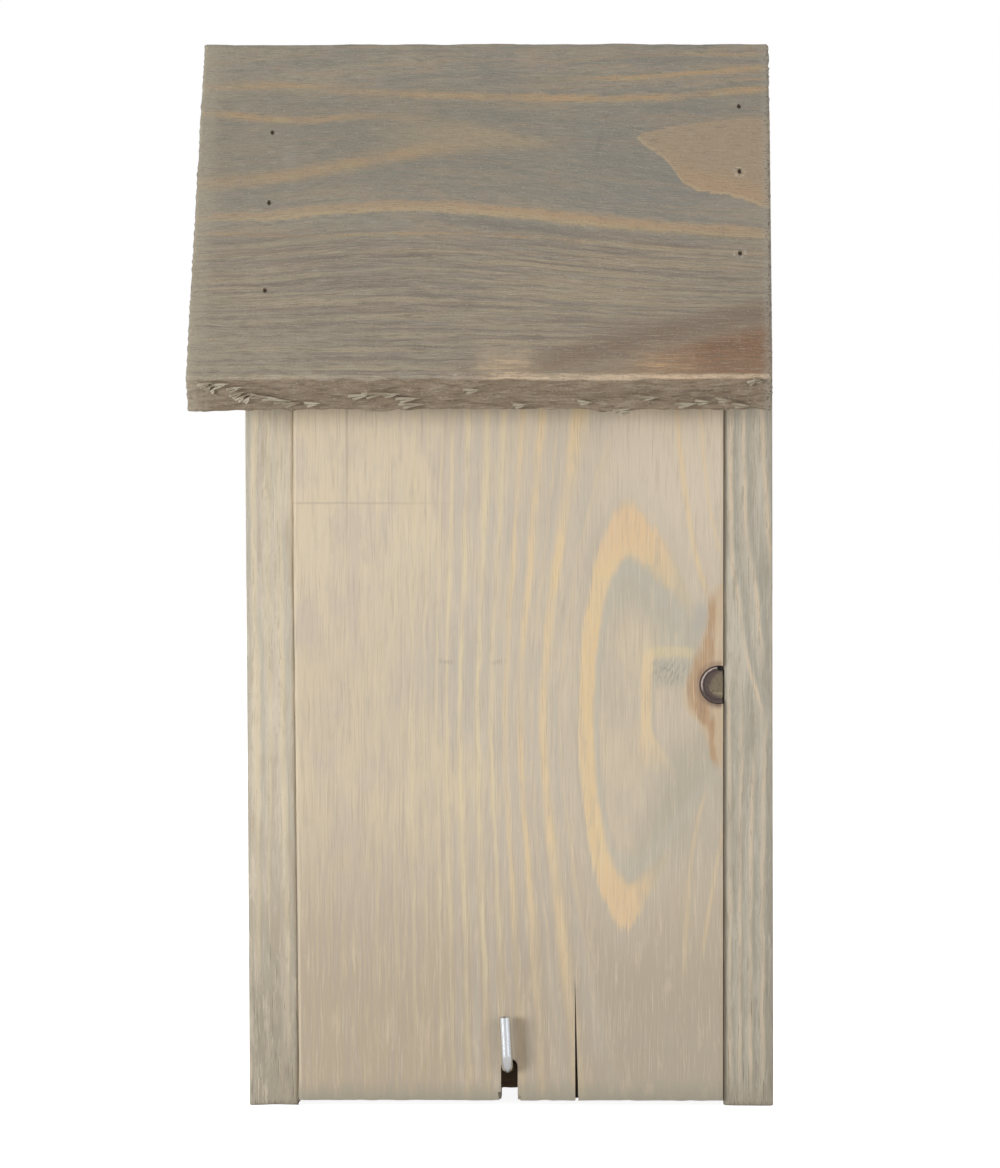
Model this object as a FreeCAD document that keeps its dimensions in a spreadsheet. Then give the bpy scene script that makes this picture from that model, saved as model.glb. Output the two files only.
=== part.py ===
"""Wooden bird nest box with a gable roof and a clean-out door in its side.

Two gable panels stand front and back.  A fixed side, a raised floor and two roof boards are nailed
to them, and the other side is a door that swings on two nails and is held by a bent wire hook.
Millimetres, +Z up, the entrance looks along -Y, the wall is behind +Y, the door faces +X.
"""

import FreeCAD
import Part
import Sketcher
import os

doc = FreeCAD.newDocument("nest_box")

# Driving sizes: name, millimetres or degrees, meaning.
SIZES = [
    ("box_width", 150.0, "width of the front and back panels"),
    ("box_depth", 156.0, "front of the front panel to back of the back panel"),
    ("ridge_height", 318.2, "ridge above the feet of the panels"),
    ("gable_board", 15.0, "thickness of the front and back panels"),
    ("side_board", 15.0, "thickness of the door and the fixed side"),
    ("floor_board", 15.0, "thickness of the floor"),
    ("roof_board", 14.0, "thickness of the roof boards"),
    ("roof_pitch", 45.0, "slope of the roof in degrees"),
    ("slope_length", 143.9, "roof board from ridge to eave, along its top face"),
    ("front_overhang", 16.5, "roof past the front panel"),
    ("roof_setback", 0.5, "roof short of the wall face, so that the back panel meets the wall"),
    ("side_top_gap", 2.5, "air gap between the sides and the roof"),
    ("side_raise", 1.5, "sides above the feet of the panels"),
    ("floor_raise", 4.0, "floor above the feet of the panels"),
    ("door_gap", 0.4, "gap on each side of the door"),
    ("door_proud", 1.0, "door past the edges of the panels"),
    ("door_floor_gap", 0.3, "gap between the shut door and the floor"),
    ("pivot_drop", 27.0, "door pivot below the top of the door"),
    ("notch_width", 5.0, "slot for the hook in the foot of the door"),
    ("entrance_diameter", 32.0, "hole for great tits and sparrows"),
    ("entrance_height", 182.0, "middle of the entrance above the feet"),
    ("keyhole_head", 9.0, "round part of the hanging keyhole"),
    ("keyhole_slot", 4.6, "slot of the hanging keyhole"),
    ("keyhole_rise", 10.0, "length of the slot above the round part"),
    ("keyhole_height", 255.0, "middle of the round part above the feet"),
    ("drain_diameter", 6.0, "drain holes in the floor"),
    ("drain_inset_across", 30.0, "drain holes from the middle of the floor, across"),
    ("drain_inset_along", 32.0, "drain holes from the middle of the floor, front to back"),
    ("hook_wire", 3.4, "wire of the latch hook"),
    ("hook_bend", 3.6, "bend of the latch hook, at the middle of the wire"),
    ("hook_rise", 15.4, "tip of the hook above its shank"),
    ("hook_gap", 2.4, "gap between the door and the upright of the hook"),
    ("hook_bite", 22.0, "shank in the floor, with its point"),
    ("hook_point", 5.0, "length of the point"),
    ("hook_edge", 0.5, "chamfer round the tip"),
    ("hook_fit", 0.05, "clearance round the shank"),
    ("hook_offset", 0.5, "hook off the middle of the notch, towards the front"),
    ("hook_lean", 3.0, "lean of the hook towards the front, in degrees"),
    ("nail_shank", 1.3, "flat wire of the brads that join the boards"),
    ("nail_flat", 1.1, "thickness of the flat wire"),
    ("nail_head", 2.1, "head of the brad"),
    ("nail_head_depth", 1.2, "height of the head"),
    ("nail_length", 36.0, "length of the brad"),
    ("nail_point", 3.0, "length of its point"),
    ("nail_sink", 0.6, "head below the face of the board"),
    ("nail_fit", 0.02, "clearance round a driven nail"),
    ("pivot_shank", 2.6, "nail that the door swings on"),
    ("pivot_head", 5.0, "head of the pivot nail"),
    ("pivot_head_depth", 1.2, "height of the head"),
    ("pivot_length", 36.0, "length of the pivot nail"),
    ("pivot_point", 4.0, "length of its point"),
    ("pivot_sink", 0.2, "head below the face of the panel"),
    ("pivot_fit", 0.06, "running clearance of the door on the pivot nail"),
    ("front_row_start", 39.4, "first roof nail at the front, from the ridge along the slope"),
    ("front_row_upper", 30.7, "first to second roof nail at the front"),
    ("front_row_lower", 37.5, "second to third roof nail at the front"),
    ("back_row_start", 28.0, "first roof nail at the back, from the ridge along the slope"),
    ("back_row_upper", 28.6, "first to second roof nail at the back"),
    ("back_row_lower", 35.2, "second to third roof nail at the back"),
    ("row_stagger", 2.0, "roof nail rows off the middle of the panel, so that the two slopes miss"),
    ("side_nail_low", 45.0, "lowest nail into the fixed side, above the feet"),
    ("side_nail_step", 75.0, "step between the nails into the fixed side"),
    ("floor_nail_inset", 36.0, "nails into the floor, from its middle"),
]

# Places worked out from the sizes.
PLACES = [
    ("half_width", "sizes.box_width / 2"),
    ("back_face", "(sizes.front_overhang + sizes.box_depth) / 2"),
    ("front_face", "back_face - sizes.box_depth"),
    ("chamber_front", "front_face + sizes.gable_board"),
    ("chamber_back", "back_face - sizes.gable_board"),
    ("chamber_depth", "chamber_back - chamber_front"),
    ("chamber_middle", "(chamber_front + chamber_back) / 2"),
    ("roof_front", "front_face - sizes.front_overhang"),
    ("roof_length", "back_face - sizes.roof_setback - roof_front"),
    ("roof_lap", "sizes.roof_board / sin(2 * sizes.roof_pitch)"),
    ("gable_apex", "sizes.ridge_height - sizes.roof_board / cos(sizes.roof_pitch)"),
    ("gable_shoulder", "gable_apex - half_width * tan(sizes.roof_pitch)"),
    ("side_height", "gable_shoulder - sizes.side_top_gap - sizes.side_raise"),
    ("fixed_inner", "half_width - sizes.side_board"),
    ("door_outer", "half_width + sizes.door_proud"),
    ("door_inner", "door_outer - sizes.side_board"),
    ("door_width", "chamber_depth - 2 * sizes.door_gap"),
    ("pivot_across", "door_outer - sizes.side_board / 2"),
    ("pivot_height", "sizes.side_raise + side_height - sizes.pivot_drop"),
    ("floor_edge", "door_inner - sizes.door_floor_gap"),
    ("floor_middle", "sizes.floor_raise + sizes.floor_board / 2"),
    ("hook_foot", "floor_edge - sizes.hook_bite + sizes.hook_point"),
    ("hook_upright", "door_outer + sizes.hook_gap + sizes.hook_wire / 2"),
    ("hook_reach", "hook_upright - hook_foot"),
    ("hook_along", "chamber_middle - sizes.hook_offset"),
    ("fixed_middle", "half_width - sizes.side_board / 2"),
]

QUARTER_TURN = 90.0
ZERO = "0"
ALONG_X = FreeCAD.Vector(1, 0, 0)
ALONG_Y = FreeCAD.Vector(0, 1, 0)


def fill_sheets():
    """Write the driving sizes as plain numbers, then the places as formulas of them."""
    sizes = doc.addObject("Spreadsheet::Sheet", "sizes")
    for row, (name, value, meaning) in enumerate(SIZES, start=1):
        sizes.set(f"A{row}", meaning)
        sizes.set(f"B{row}", str(value))
        sizes.setAlias(f"B{row}", name)
    doc.recompute()
    places = doc.addObject("Spreadsheet::Sheet", "places")
    for row, (name, formula) in enumerate(PLACES, start=1):
        places.set(f"A{row}", name.replace("_", " "))
        places.set(f"B{row}", "=" + formula)
        places.setAlias(f"B{row}", name)
        doc.recompute()
    return sizes


SHEET = fill_sheets()


def bind(item, **formulas):
    """Bind properties of a document object; a double underscore stands for a dot."""
    for name, formula in formulas.items():
        item.setExpression(name.replace("__", "."), formula)


def new_body(name):
    return doc.addObject("PartDesign::Body", name)


def new_sketch(body, name, plane):
    """Start a sketch on one of the body's own origin planes."""
    sketch = body.newObject("Sketcher::SketchObject", name)
    support = next(item for item in body.Origin.OriginFeatures if item.Role == plane)
    sketch.AttachmentSupport = (support, [""])
    sketch.MapMode = "FlatFace"
    return sketch


def pin(sketch, geometry, point, across, up):
    """Tie a point of the sketch to the origin by two formulas."""
    for kind, formula in (("DistanceX", across), ("DistanceY", up)):
        value = float(SHEET.evalExpression(formula))
        index = sketch.addConstraint(Sketcher.Constraint(kind, -1, 1, geometry, point, value))
        sketch.setExpression(f"Constraints[{index}]", formula)


def draw_outline(sketch, corners):
    """Draw a closed outline of straight lines through corners given as pairs of formulas."""
    points = [FreeCAD.Vector(float(SHEET.evalExpression(across)), float(SHEET.evalExpression(up)), 0)
              for across, up in corners]
    count = len(points)
    lines = [sketch.addGeometry(Part.LineSegment(points[i], points[(i + 1) % count])) for i in range(count)]
    for i, line in enumerate(lines):
        sketch.addConstraint(Sketcher.Constraint("Coincident", line, 2, lines[(i + 1) % count], 1))
    for line, (across, up) in zip(lines, corners):
        pin(sketch, line, 1, across, up)


def draw_circle(sketch, across, up, diameter):
    middle = FreeCAD.Vector(float(SHEET.evalExpression(across)), float(SHEET.evalExpression(up)), 0)
    radius = float(SHEET.evalExpression(diameter)) / 2
    circle = sketch.addGeometry(Part.Circle(middle, FreeCAD.Vector(0, 0, 1), radius))
    pin(sketch, circle, 3, across, up)
    index = sketch.addConstraint(Sketcher.Constraint("Diameter", circle, 2 * radius))
    sketch.setExpression(f"Constraints[{index}]", diameter)


def pad(body, sketch, length, reverse=False):
    feature = body.newObject("PartDesign::Pad", sketch.Name + "_pad")
    feature.Profile = sketch
    feature.Reversed = reverse
    bind(feature, Length=length)
    sketch.Visibility = False
    return feature


def cut_through(body, sketch, reverse=False):
    """Cut a profile right through the body and make sure that it took wood away."""
    doc.recompute()
    before = body.Shape.Volume
    feature = body.newObject("PartDesign::Pocket", sketch.Name + "_cut")
    feature.Profile = sketch
    feature.Type = "ThroughAll"
    feature.Reversed = reverse
    sketch.Visibility = False
    doc.recompute()
    if body.Shape.Volume >= before:
        raise RuntimeError(f"{sketch.Name} cut nothing")
    return feature


def saw_slot(body, name, plane, start, end, width, reverse=False):
    """Saw a straight slot up to a drilled round end, both on the body's middle line."""
    kerf = new_sketch(body, name + "_kerf", plane)
    draw_outline(kerf, [(f"-({width}) / 2", start), (f"({width}) / 2", start),
                        (f"({width}) / 2", end), (f"-({width}) / 2", end)])
    cut_through(body, kerf, reverse)
    drilled = new_sketch(body, name + "_end", plane)
    draw_circle(drilled, ZERO, end, width)
    cut_through(body, drilled, reverse)


def gable_panel(name):
    """A front or back panel: square below, and cut to the roof's slope above; foot at the origin."""
    body = new_body(name)
    outline = new_sketch(body, name + "_outline", "XZ_Plane")
    draw_outline(outline, [("-places.half_width", ZERO), ("places.half_width", ZERO),
                           ("places.half_width", "places.gable_shoulder"), (ZERO, "places.gable_apex"),
                           ("-places.half_width", "places.gable_shoulder")])
    pad(body, outline, "sizes.gable_board", reverse=True)
    return body


def side_panel(name, width):
    """A side board that stands on its foot, its inner face at the origin."""
    body = new_body(name)
    outline = new_sketch(body, name + "_outline", "YZ_Plane")
    draw_outline(outline, [(f"-({width}) / 2", ZERO), (f"({width}) / 2", ZERO),
                           (f"({width}) / 2", "places.side_height"),
                           (f"-({width}) / 2", "places.side_height")])
    pad(body, outline, "sizes.side_board")
    return body


def roof_panel(name, corners, axis):
    """A roof board drawn lying flat from the ridge, then tipped about an axis to the slope of the roof."""
    body = new_body(name)
    outline = new_sketch(body, name + "_outline", "XZ_Plane")
    draw_outline(outline, corners)
    pad(body, outline, "places.roof_length", reverse=True)
    body.Placement = FreeCAD.Placement(FreeCAD.Vector(), FreeCAD.Rotation(axis, QUARTER_TURN))
    bind(body, Placement__Base__y="places.roof_front", Placement__Base__z="sizes.ridge_height",
         Placement__Rotation__Angle="sizes.roof_pitch")
    return body


def nail_half(size, clearance, drill):
    """One half of a nail's outline from its tip to its head, just under the board's face at the origin.

    As a drill it has the clearance round it, and its head reaches out of the wood.
    """
    shank = f"sizes.{size}_shank / 2 + {clearance}"
    head = f"sizes.{size}_head / 2 + {clearance}"
    tip = f"-sizes.{size}_length - sizes.{size}_sink - {clearance}"
    shoulder = f"-sizes.{size}_length - sizes.{size}_sink + sizes.{size}_point"
    underside = f"-sizes.{size}_sink - sizes.{size}_head_depth - {clearance}"
    top = "sizes.nail_sink + sizes.pivot_sink" if drill else f"-sizes.{size}_sink"
    return [(ZERO, tip), (shank, shoulder), (shank, underside), (head, underside), (head, top), (ZERO, top)]


def brad_pattern(name, drill):
    """A machine-driven brad: flat wire with a chisel point and a head as thick as the wire."""
    body = new_body(name)
    clearance = "sizes.nail_fit" if drill else ZERO
    half = nail_half("nail", clearance, drill)
    other_half = [(f"-({across})", up) for across, up in half[-2:0:-1]]
    profile = new_sketch(body, name + "_profile", "XZ_Plane")
    draw_outline(profile, half[:-1] + other_half)
    flat = pad(body, profile, f"sizes.nail_flat + 2 * {clearance}")
    flat.SideType = "Symmetric"
    doc.recompute()
    return body


def pivot_pattern(name, clearance, drill):
    """A round wire nail, turned about its length."""
    body = new_body(name)
    profile = new_sketch(body, name + "_profile", "XZ_Plane")
    draw_outline(profile, nail_half("pivot", clearance, drill))
    turned = body.newObject("PartDesign::Revolution", name + "_turned")
    turned.Profile = profile
    turned.ReferenceAxis = (profile, ["V_Axis"])
    turned.Angle = 360.0
    profile.Visibility = False
    doc.recompute()
    return body


front_blank = gable_panel("front_panel_blank")
bind(front_blank, Placement__Base__y="places.front_face")
entrance = new_sketch(front_blank, "entrance", "XZ_Plane")
draw_circle(entrance, ZERO, "sizes.entrance_height", "sizes.entrance_diameter")
cut_through(front_blank, entrance)

back_blank = gable_panel("back_panel_blank")
bind(back_blank, Placement__Base__y="places.chamber_back")
keyhole = new_sketch(back_blank, "keyhole_head", "XZ_Plane")
draw_circle(keyhole, ZERO, "sizes.keyhole_height", "sizes.keyhole_head")
cut_through(back_blank, keyhole)
saw_slot(back_blank, "keyhole_slot", "XZ_Plane", "sizes.keyhole_height",
         "sizes.keyhole_height + sizes.keyhole_rise", "sizes.keyhole_slot")

fixed_blank = side_panel("fixed_side_blank", "places.chamber_depth")
bind(fixed_blank, Placement__Base__x="-places.half_width", Placement__Base__y="places.chamber_middle",
     Placement__Base__z="sizes.side_raise")

door_blank = side_panel("door_blank", "places.door_width")
bind(door_blank, Placement__Base__x="places.door_inner", Placement__Base__y="places.chamber_middle",
     Placement__Base__z="sizes.side_raise")
saw_slot(door_blank, "hook_notch", "YZ_Plane", "-sizes.side_raise",
         "places.floor_middle - sizes.side_raise", "sizes.notch_width", reverse=True)

floor_blank = new_body("floor_blank")
floor_outline = new_sketch(floor_blank, "floor_outline", "XY_Plane")
draw_outline(floor_outline, [("-places.fixed_inner", "-places.chamber_depth / 2"),
                             ("places.floor_edge", "-places.chamber_depth / 2"),
                             ("places.floor_edge", "places.chamber_depth / 2"),
                             ("-places.fixed_inner", "places.chamber_depth / 2")])
pad(floor_blank, floor_outline, "sizes.floor_board")
drains = new_sketch(floor_blank, "drain_holes", "XY_Plane")
for across in ("-sizes.drain_inset_across", "sizes.drain_inset_across"):
    for along in ("-sizes.drain_inset_along", "sizes.drain_inset_along"):
        draw_circle(drains, across, along, "sizes.drain_diameter")
cut_through(floor_blank, drains, reverse=True)
bind(floor_blank, Placement__Base__y="places.chamber_middle", Placement__Base__z="sizes.floor_raise")
hook_pilot = new_sketch(floor_blank, "hook_pilot", "YZ_Plane")
bind(hook_pilot, AttachmentOffset__Base__z="places.floor_edge - sizes.hook_bite - sizes.hook_fit")
draw_circle(hook_pilot, "-sizes.hook_offset", "sizes.floor_board / 2", "sizes.hook_wire + 2 * sizes.hook_fit")
cut_through(floor_blank, hook_pilot, reverse=True)

# The door's roof board laps over the other one at the ridge, as its top edge lies in the other's top face.
UNDERSIDE = "-sizes.roof_board"
lapping_blank = roof_panel("roof_door_side_blank", [
    (ZERO, ZERO), ("sizes.slope_length", ZERO), ("sizes.slope_length", UNDERSIDE),
    ("-places.roof_lap * cos(2 * sizes.roof_pitch)", UNDERSIDE)], ALONG_Y)
butting_blank = roof_panel("roof_fixed_side_blank", [
    ("-places.roof_lap", ZERO), ("-sizes.slope_length", ZERO), ("-sizes.slope_length", UNDERSIDE),
    ("-sizes.roof_board * tan(sizes.roof_pitch)", UNDERSIDE)], -ALONG_Y)

brad = brad_pattern("brad_pattern", drill=False)
brad_drill = brad_pattern("brad_drill", drill=True)
pivot = pivot_pattern("pivot_pattern", ZERO, drill=False)
pivot_drill = pivot_pattern("pivot_drill", "sizes.nail_fit", drill=True)
pivot_bore = pivot_pattern("pivot_bore", "sizes.pivot_fit", drill=True)


def place_copy(pattern, name, spot, axis, turn, turn_formula=None):
    """Set a copy of a nail at a spot given by three formulas, turned about one axis."""
    copy = doc.addObject("App::Link", name)
    copy.LinkedObject = pattern
    copy.Placement = FreeCAD.Placement(FreeCAD.Vector(), FreeCAD.Rotation(axis, turn))
    bind(copy, Placement__Base__x=spot[0], Placement__Base__y=spot[1], Placement__Base__z=spot[2])
    if turn_formula:
        bind(copy, Placement__Rotation__Angle=turn_formula)
    return copy


def gather(name, items):
    group = doc.addObject("Part::Compound", name)
    group.Links = items
    return group


def drive_nails(node, spots, axis, turn, turn_formula=None):
    """Drive a row of brads: the row itself is a node, and its holes are returned for the boards."""
    nails = []
    holes = []
    for number, spot in enumerate(spots, start=1):
        nails.append(place_copy(brad, f"{node}_{number}", spot, axis, turn, turn_formula))
        holes.append(place_copy(brad_drill, f"{node}_hole_{number}", spot, axis, turn, turn_formula))
    nodes[node] = gather(node, nails)
    return holes


def drill_board(node, blank, holes):
    """Take the nail holes out of a board: the drilled board is a node."""
    board = doc.addObject("Part::Cut", node)
    board.Base = blank
    board.Tool = gather(node + "_holes", holes)
    nodes[node] = board


def slope_row(side, along, row):
    """Spots of a row of three roof nails down a slope: side is -1 or 1 across the ridge."""
    first = f"sizes.{row}_start"
    second = f"{first} + sizes.{row}_upper"
    distances = [first, second, f"{second} + sizes.{row}_lower"]
    return [(f"{side} * ({distance}) * cos(sizes.roof_pitch)", along,
             f"sizes.ridge_height - ({distance}) * sin(sizes.roof_pitch)") for distance in distances]


def wall_column(face):
    """Spots of three nails up the edge of the fixed side, on the face of a gable panel."""
    return [("-places.fixed_middle", face, f"sizes.side_nail_low + {step} * sizes.side_nail_step")
            for step in range(3)]


def floor_pair(face):
    """Spots of two nails into the floor, on the face of a gable panel."""
    return [(f"{side} * sizes.floor_nail_inset", face, "places.floor_middle") for side in (-1, 1)]


nodes = {}
FRONT_MIDDLE = "places.front_face + sizes.gable_board / 2"
BACK_MIDDLE = "places.back_face - sizes.gable_board / 2"
PITCH = "sizes.roof_pitch"

door_slope_front = drive_nails(
    "roof_nails_door_side_front",
    slope_row(1, f"{FRONT_MIDDLE} - sizes.row_stagger", "front_row"), ALONG_Y, QUARTER_TURN, PITCH)
door_slope_back = drive_nails(
    "roof_nails_door_side_back",
    slope_row(1, f"{BACK_MIDDLE} - sizes.row_stagger", "back_row"), ALONG_Y, QUARTER_TURN, PITCH)
fixed_slope_front = drive_nails(
    "roof_nails_fixed_side_front",
    slope_row(-1, f"{FRONT_MIDDLE} + sizes.row_stagger", "front_row"), -ALONG_Y, QUARTER_TURN, PITCH)
fixed_slope_back = drive_nails(
    "roof_nails_fixed_side_back",
    slope_row(-1, f"{BACK_MIDDLE} + sizes.row_stagger", "back_row"), -ALONG_Y, QUARTER_TURN, PITCH)
wall_front = drive_nails("fixed_side_nails_front", wall_column("places.front_face"), ALONG_X, QUARTER_TURN)
wall_back = drive_nails("fixed_side_nails_back", wall_column("places.back_face"), ALONG_X, -QUARTER_TURN)
floor_front = drive_nails("floor_nails_front", floor_pair("places.front_face"), ALONG_X, QUARTER_TURN)
floor_back = drive_nails("floor_nails_back", floor_pair("places.back_face"), ALONG_X, -QUARTER_TURN)
floor_side = drive_nails(
    "floor_nails_side",
    [("-places.half_width", f"places.chamber_middle + {side} * sizes.floor_nail_inset", "places.floor_middle")
     for side in (-1, 1)], ALONG_Y, -QUARTER_TURN)

pivot_holes = {}
pivot_bores = []
for end, face, turn in (("front", "places.front_face", QUARTER_TURN), ("back", "places.back_face", -QUARTER_TURN)):
    pivot_spot = ("places.pivot_across", face, "places.pivot_height")
    nodes[f"door_pivot_nail_{end}"] = gather(
        f"door_pivot_nail_{end}", [place_copy(pivot, f"pivot_{end}", pivot_spot, ALONG_X, turn)])
    pivot_holes[end] = place_copy(pivot_drill, f"pivot_{end}_hole", pivot_spot, ALONG_X, turn)
    pivot_bores.append(place_copy(pivot_bore, f"pivot_{end}_bore", pivot_spot, ALONG_X, turn))

drill_board("front_panel", front_blank,
            door_slope_front + fixed_slope_front + wall_front + floor_front + [pivot_holes["front"]])
drill_board("back_panel", back_blank,
            door_slope_back + fixed_slope_back + wall_back + floor_back + [pivot_holes["back"]])
drill_board("fixed_side_panel", fixed_blank, wall_front + wall_back + floor_side)
drill_board("floor_board", floor_blank, floor_front + floor_back + floor_side)
drill_board("roof_board_door_side", lapping_blank, door_slope_front + door_slope_back)
drill_board("roof_board_fixed_side", butting_blank, fixed_slope_front + fixed_slope_back)
drill_board("door_panel", door_blank, pivot_bores)

# The hook: wire run along its shank, round the bend and up to the tip, with a turned point.
hook = new_body("latch_hook")
wire = new_sketch(hook, "hook_wire", "YZ_Plane")
draw_circle(wire, ZERO, ZERO, "sizes.hook_wire")
path = new_sketch(hook, "hook_path", "XZ_Plane")
reach = float(SHEET.evalExpression("places.hook_reach"))
bend = float(SHEET.evalExpression("sizes.hook_bend"))
rise = float(SHEET.evalExpression("sizes.hook_rise"))
shank_line = path.addGeometry(Part.LineSegment(FreeCAD.Vector(0, 0, 0), FreeCAD.Vector(reach - bend, 0, 0)))
bend_arc = path.addGeometry(Part.Arc(
    FreeCAD.Vector(reach - bend, 0, 0),
    FreeCAD.Vector(reach - bend * (1 - 0.5 ** 0.5), bend * (1 - 0.5 ** 0.5), 0),
    FreeCAD.Vector(reach, bend, 0)))
upright_line = path.addGeometry(Part.LineSegment(FreeCAD.Vector(reach, bend, 0), FreeCAD.Vector(reach, rise, 0)))
pin(path, shank_line, 1, ZERO, ZERO)
path.addConstraint(Sketcher.Constraint("Horizontal", shank_line))
path.addConstraint(Sketcher.Constraint("Vertical", upright_line))
path.addConstraint(Sketcher.Constraint("Tangent", shank_line, 2, bend_arc, 1))
path.addConstraint(Sketcher.Constraint("Tangent", bend_arc, 2, upright_line, 1))
radius_rule = path.addConstraint(Sketcher.Constraint("Radius", bend_arc, bend))
path.setExpression(f"Constraints[{radius_rule}]", "sizes.hook_bend")
pin(path, upright_line, 2, "places.hook_reach", "sizes.hook_rise")
pipe = hook.newObject("PartDesign::AdditivePipe", "hook_pipe")
pipe.Profile = wire
pipe.Spine = path
doc.recompute()
point = new_sketch(hook, "hook_point", "XZ_Plane")
draw_outline(point, [(ZERO, ZERO), (ZERO, "sizes.hook_wire / 2"), ("-sizes.hook_point", ZERO)])
turned_point = hook.newObject("PartDesign::Revolution", "hook_point_turned")
turned_point.Profile = point
turned_point.ReferenceAxis = (point, ["H_Axis"])
turned_point.Angle = 360.0
doc.recompute()
tip_edge = max(range(len(turned_point.Shape.Edges)), key=lambda i: turned_point.Shape.Edges[i].BoundBox.ZMin)
tip_chamfer = hook.newObject("PartDesign::Chamfer", "hook_tip")
tip_chamfer.Base = (turned_point, [f"Edge{tip_edge + 1}"])
bind(tip_chamfer, Size="sizes.hook_edge")
hook.Placement = FreeCAD.Placement(FreeCAD.Vector(), FreeCAD.Rotation(ALONG_X, QUARTER_TURN))
bind(hook, Placement__Base__x="places.hook_foot", Placement__Base__y="places.hook_along",
     Placement__Base__z="places.floor_middle", Placement__Rotation__Angle="sizes.hook_lean")
nodes["latch_hook"] = hook

doc.recompute()

for item in doc.Objects:
    if "Invalid" in item.State or "Error" in item.State:
        raise RuntimeError(f"{item.Name} did not rebuild: {item.State}")

os.makedirs("parts", exist_ok=True)
for node, item in nodes.items():
    item.Label = node
    shape = item.Shape
    if shape.isNull() or not shape.isValid():
        raise RuntimeError(f"{node} has no sound shape")
    shape.exportStep(f"parts/{node}.step")
    box = shape.BoundBox
    print(f"{node:30s} solids {len(shape.Solids)}  volume {shape.Volume:10.1f}"
          f"  x {box.XMin:8.2f} {box.XMax:8.2f}  y {box.YMin:8.2f} {box.YMax:8.2f}"
          f"  z {box.ZMin:8.2f} {box.ZMax:8.2f}")
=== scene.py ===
# %% [markdown]
# # A gable nest box in washed pine
# This lesson dresses a small wooden nest box: seven sawn boards, a bent wire hook and a handful of brads.
# The boards are plain shapes, so what makes them look real is their sawn edges, their splits and knots, and
# above all the grain under the thin grey wash.  We load the measured frame first and build on top of it.

# %% Load the frame
import math
from types import SimpleNamespace

import bpy
from mathutils import Matrix, Vector


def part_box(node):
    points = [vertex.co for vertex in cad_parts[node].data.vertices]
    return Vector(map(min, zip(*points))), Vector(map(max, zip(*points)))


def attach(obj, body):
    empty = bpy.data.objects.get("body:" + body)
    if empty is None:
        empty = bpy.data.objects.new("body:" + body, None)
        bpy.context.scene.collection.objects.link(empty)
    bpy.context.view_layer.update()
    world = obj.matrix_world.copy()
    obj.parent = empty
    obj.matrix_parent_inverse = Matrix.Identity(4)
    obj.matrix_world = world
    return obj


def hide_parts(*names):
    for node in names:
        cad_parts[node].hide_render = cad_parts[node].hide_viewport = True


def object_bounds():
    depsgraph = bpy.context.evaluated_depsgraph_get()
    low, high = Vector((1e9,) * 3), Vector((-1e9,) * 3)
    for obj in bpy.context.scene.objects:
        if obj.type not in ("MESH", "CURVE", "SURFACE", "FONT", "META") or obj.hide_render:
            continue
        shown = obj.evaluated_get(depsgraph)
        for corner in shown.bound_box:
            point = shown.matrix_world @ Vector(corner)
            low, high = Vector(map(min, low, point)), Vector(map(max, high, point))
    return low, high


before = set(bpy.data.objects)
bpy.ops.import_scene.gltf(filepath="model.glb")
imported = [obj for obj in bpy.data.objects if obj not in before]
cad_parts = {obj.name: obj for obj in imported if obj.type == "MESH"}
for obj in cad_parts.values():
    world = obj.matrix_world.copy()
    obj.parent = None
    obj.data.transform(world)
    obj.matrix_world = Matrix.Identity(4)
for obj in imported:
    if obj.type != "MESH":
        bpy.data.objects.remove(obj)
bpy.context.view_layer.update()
MM = 0.001

# %% [markdown]
# ## Picking what to work on
# An operator acts on everything that is selected, and the frame's nodes come in selected.  By hand one
# clicks on a piece first; in a script a few helpers do the same, so that no operator ever touches a piece by
# accident.  Edges and faces are picked by a rule on their place or normal, which still holds when a size
# changes.

# %% Helpers: pick a piece, all of it, or some of its edges and faces


def pick_nothing():
    """Leaves edit mode and deselects everything, so that the next operator touches only what we pick."""
    if bpy.context.mode != "OBJECT":
        bpy.ops.object.mode_set(mode="OBJECT")
    bpy.ops.object.select_all(action="DESELECT")


def pick(piece):
    """Makes one piece the active and only selected one."""
    pick_nothing()
    piece.select_set(True)
    bpy.context.view_layer.objects.active = piece


def open_up(piece):
    """Enters edit mode with the whole piece selected."""
    pick(piece)
    bpy.ops.object.mode_set(mode="EDIT")
    bpy.ops.mesh.select_all(action="SELECT")


def choose(piece, kind, wanted):
    """Enters edit mode with only the wanted edges or faces of a piece selected; kind is EDGE or FACE."""
    pick(piece)
    bpy.ops.object.mode_set(mode="EDIT")
    bpy.ops.mesh.select_mode(type=kind)
    bpy.ops.mesh.select_all(action="DESELECT")
    close_up()
    parts = piece.data.edges if kind == "EDGE" else piece.data.polygons
    for part in parts:
        part.select = wanted(part)
    bpy.ops.object.mode_set(mode="EDIT")


def close_up():
    """Goes back to object mode, which writes the edits into the mesh."""
    bpy.ops.object.mode_set(mode="OBJECT")


print("picking helpers ready")

# %% [markdown]
# ## A board from a saw
# A sawn board has a good face, a thickness and arrises that handling has dulled.  One could start from a
# cube, but a cube has no points between its corners to move.  So each board starts as a flat grid of small
# squares, is trimmed while it is flat, and is then extruded to its thickness in a few layers.

# %% Helpers: a flat face, its thickness and its arrises
SQUARE = 1.5 * MM
SHARP_FROM = math.radians(40)
ALONG_X, ALONG_Y, UP = Vector((1, 0, 0)), Vector((0, 1, 0)), Vector((0, 0, 1))


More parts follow.
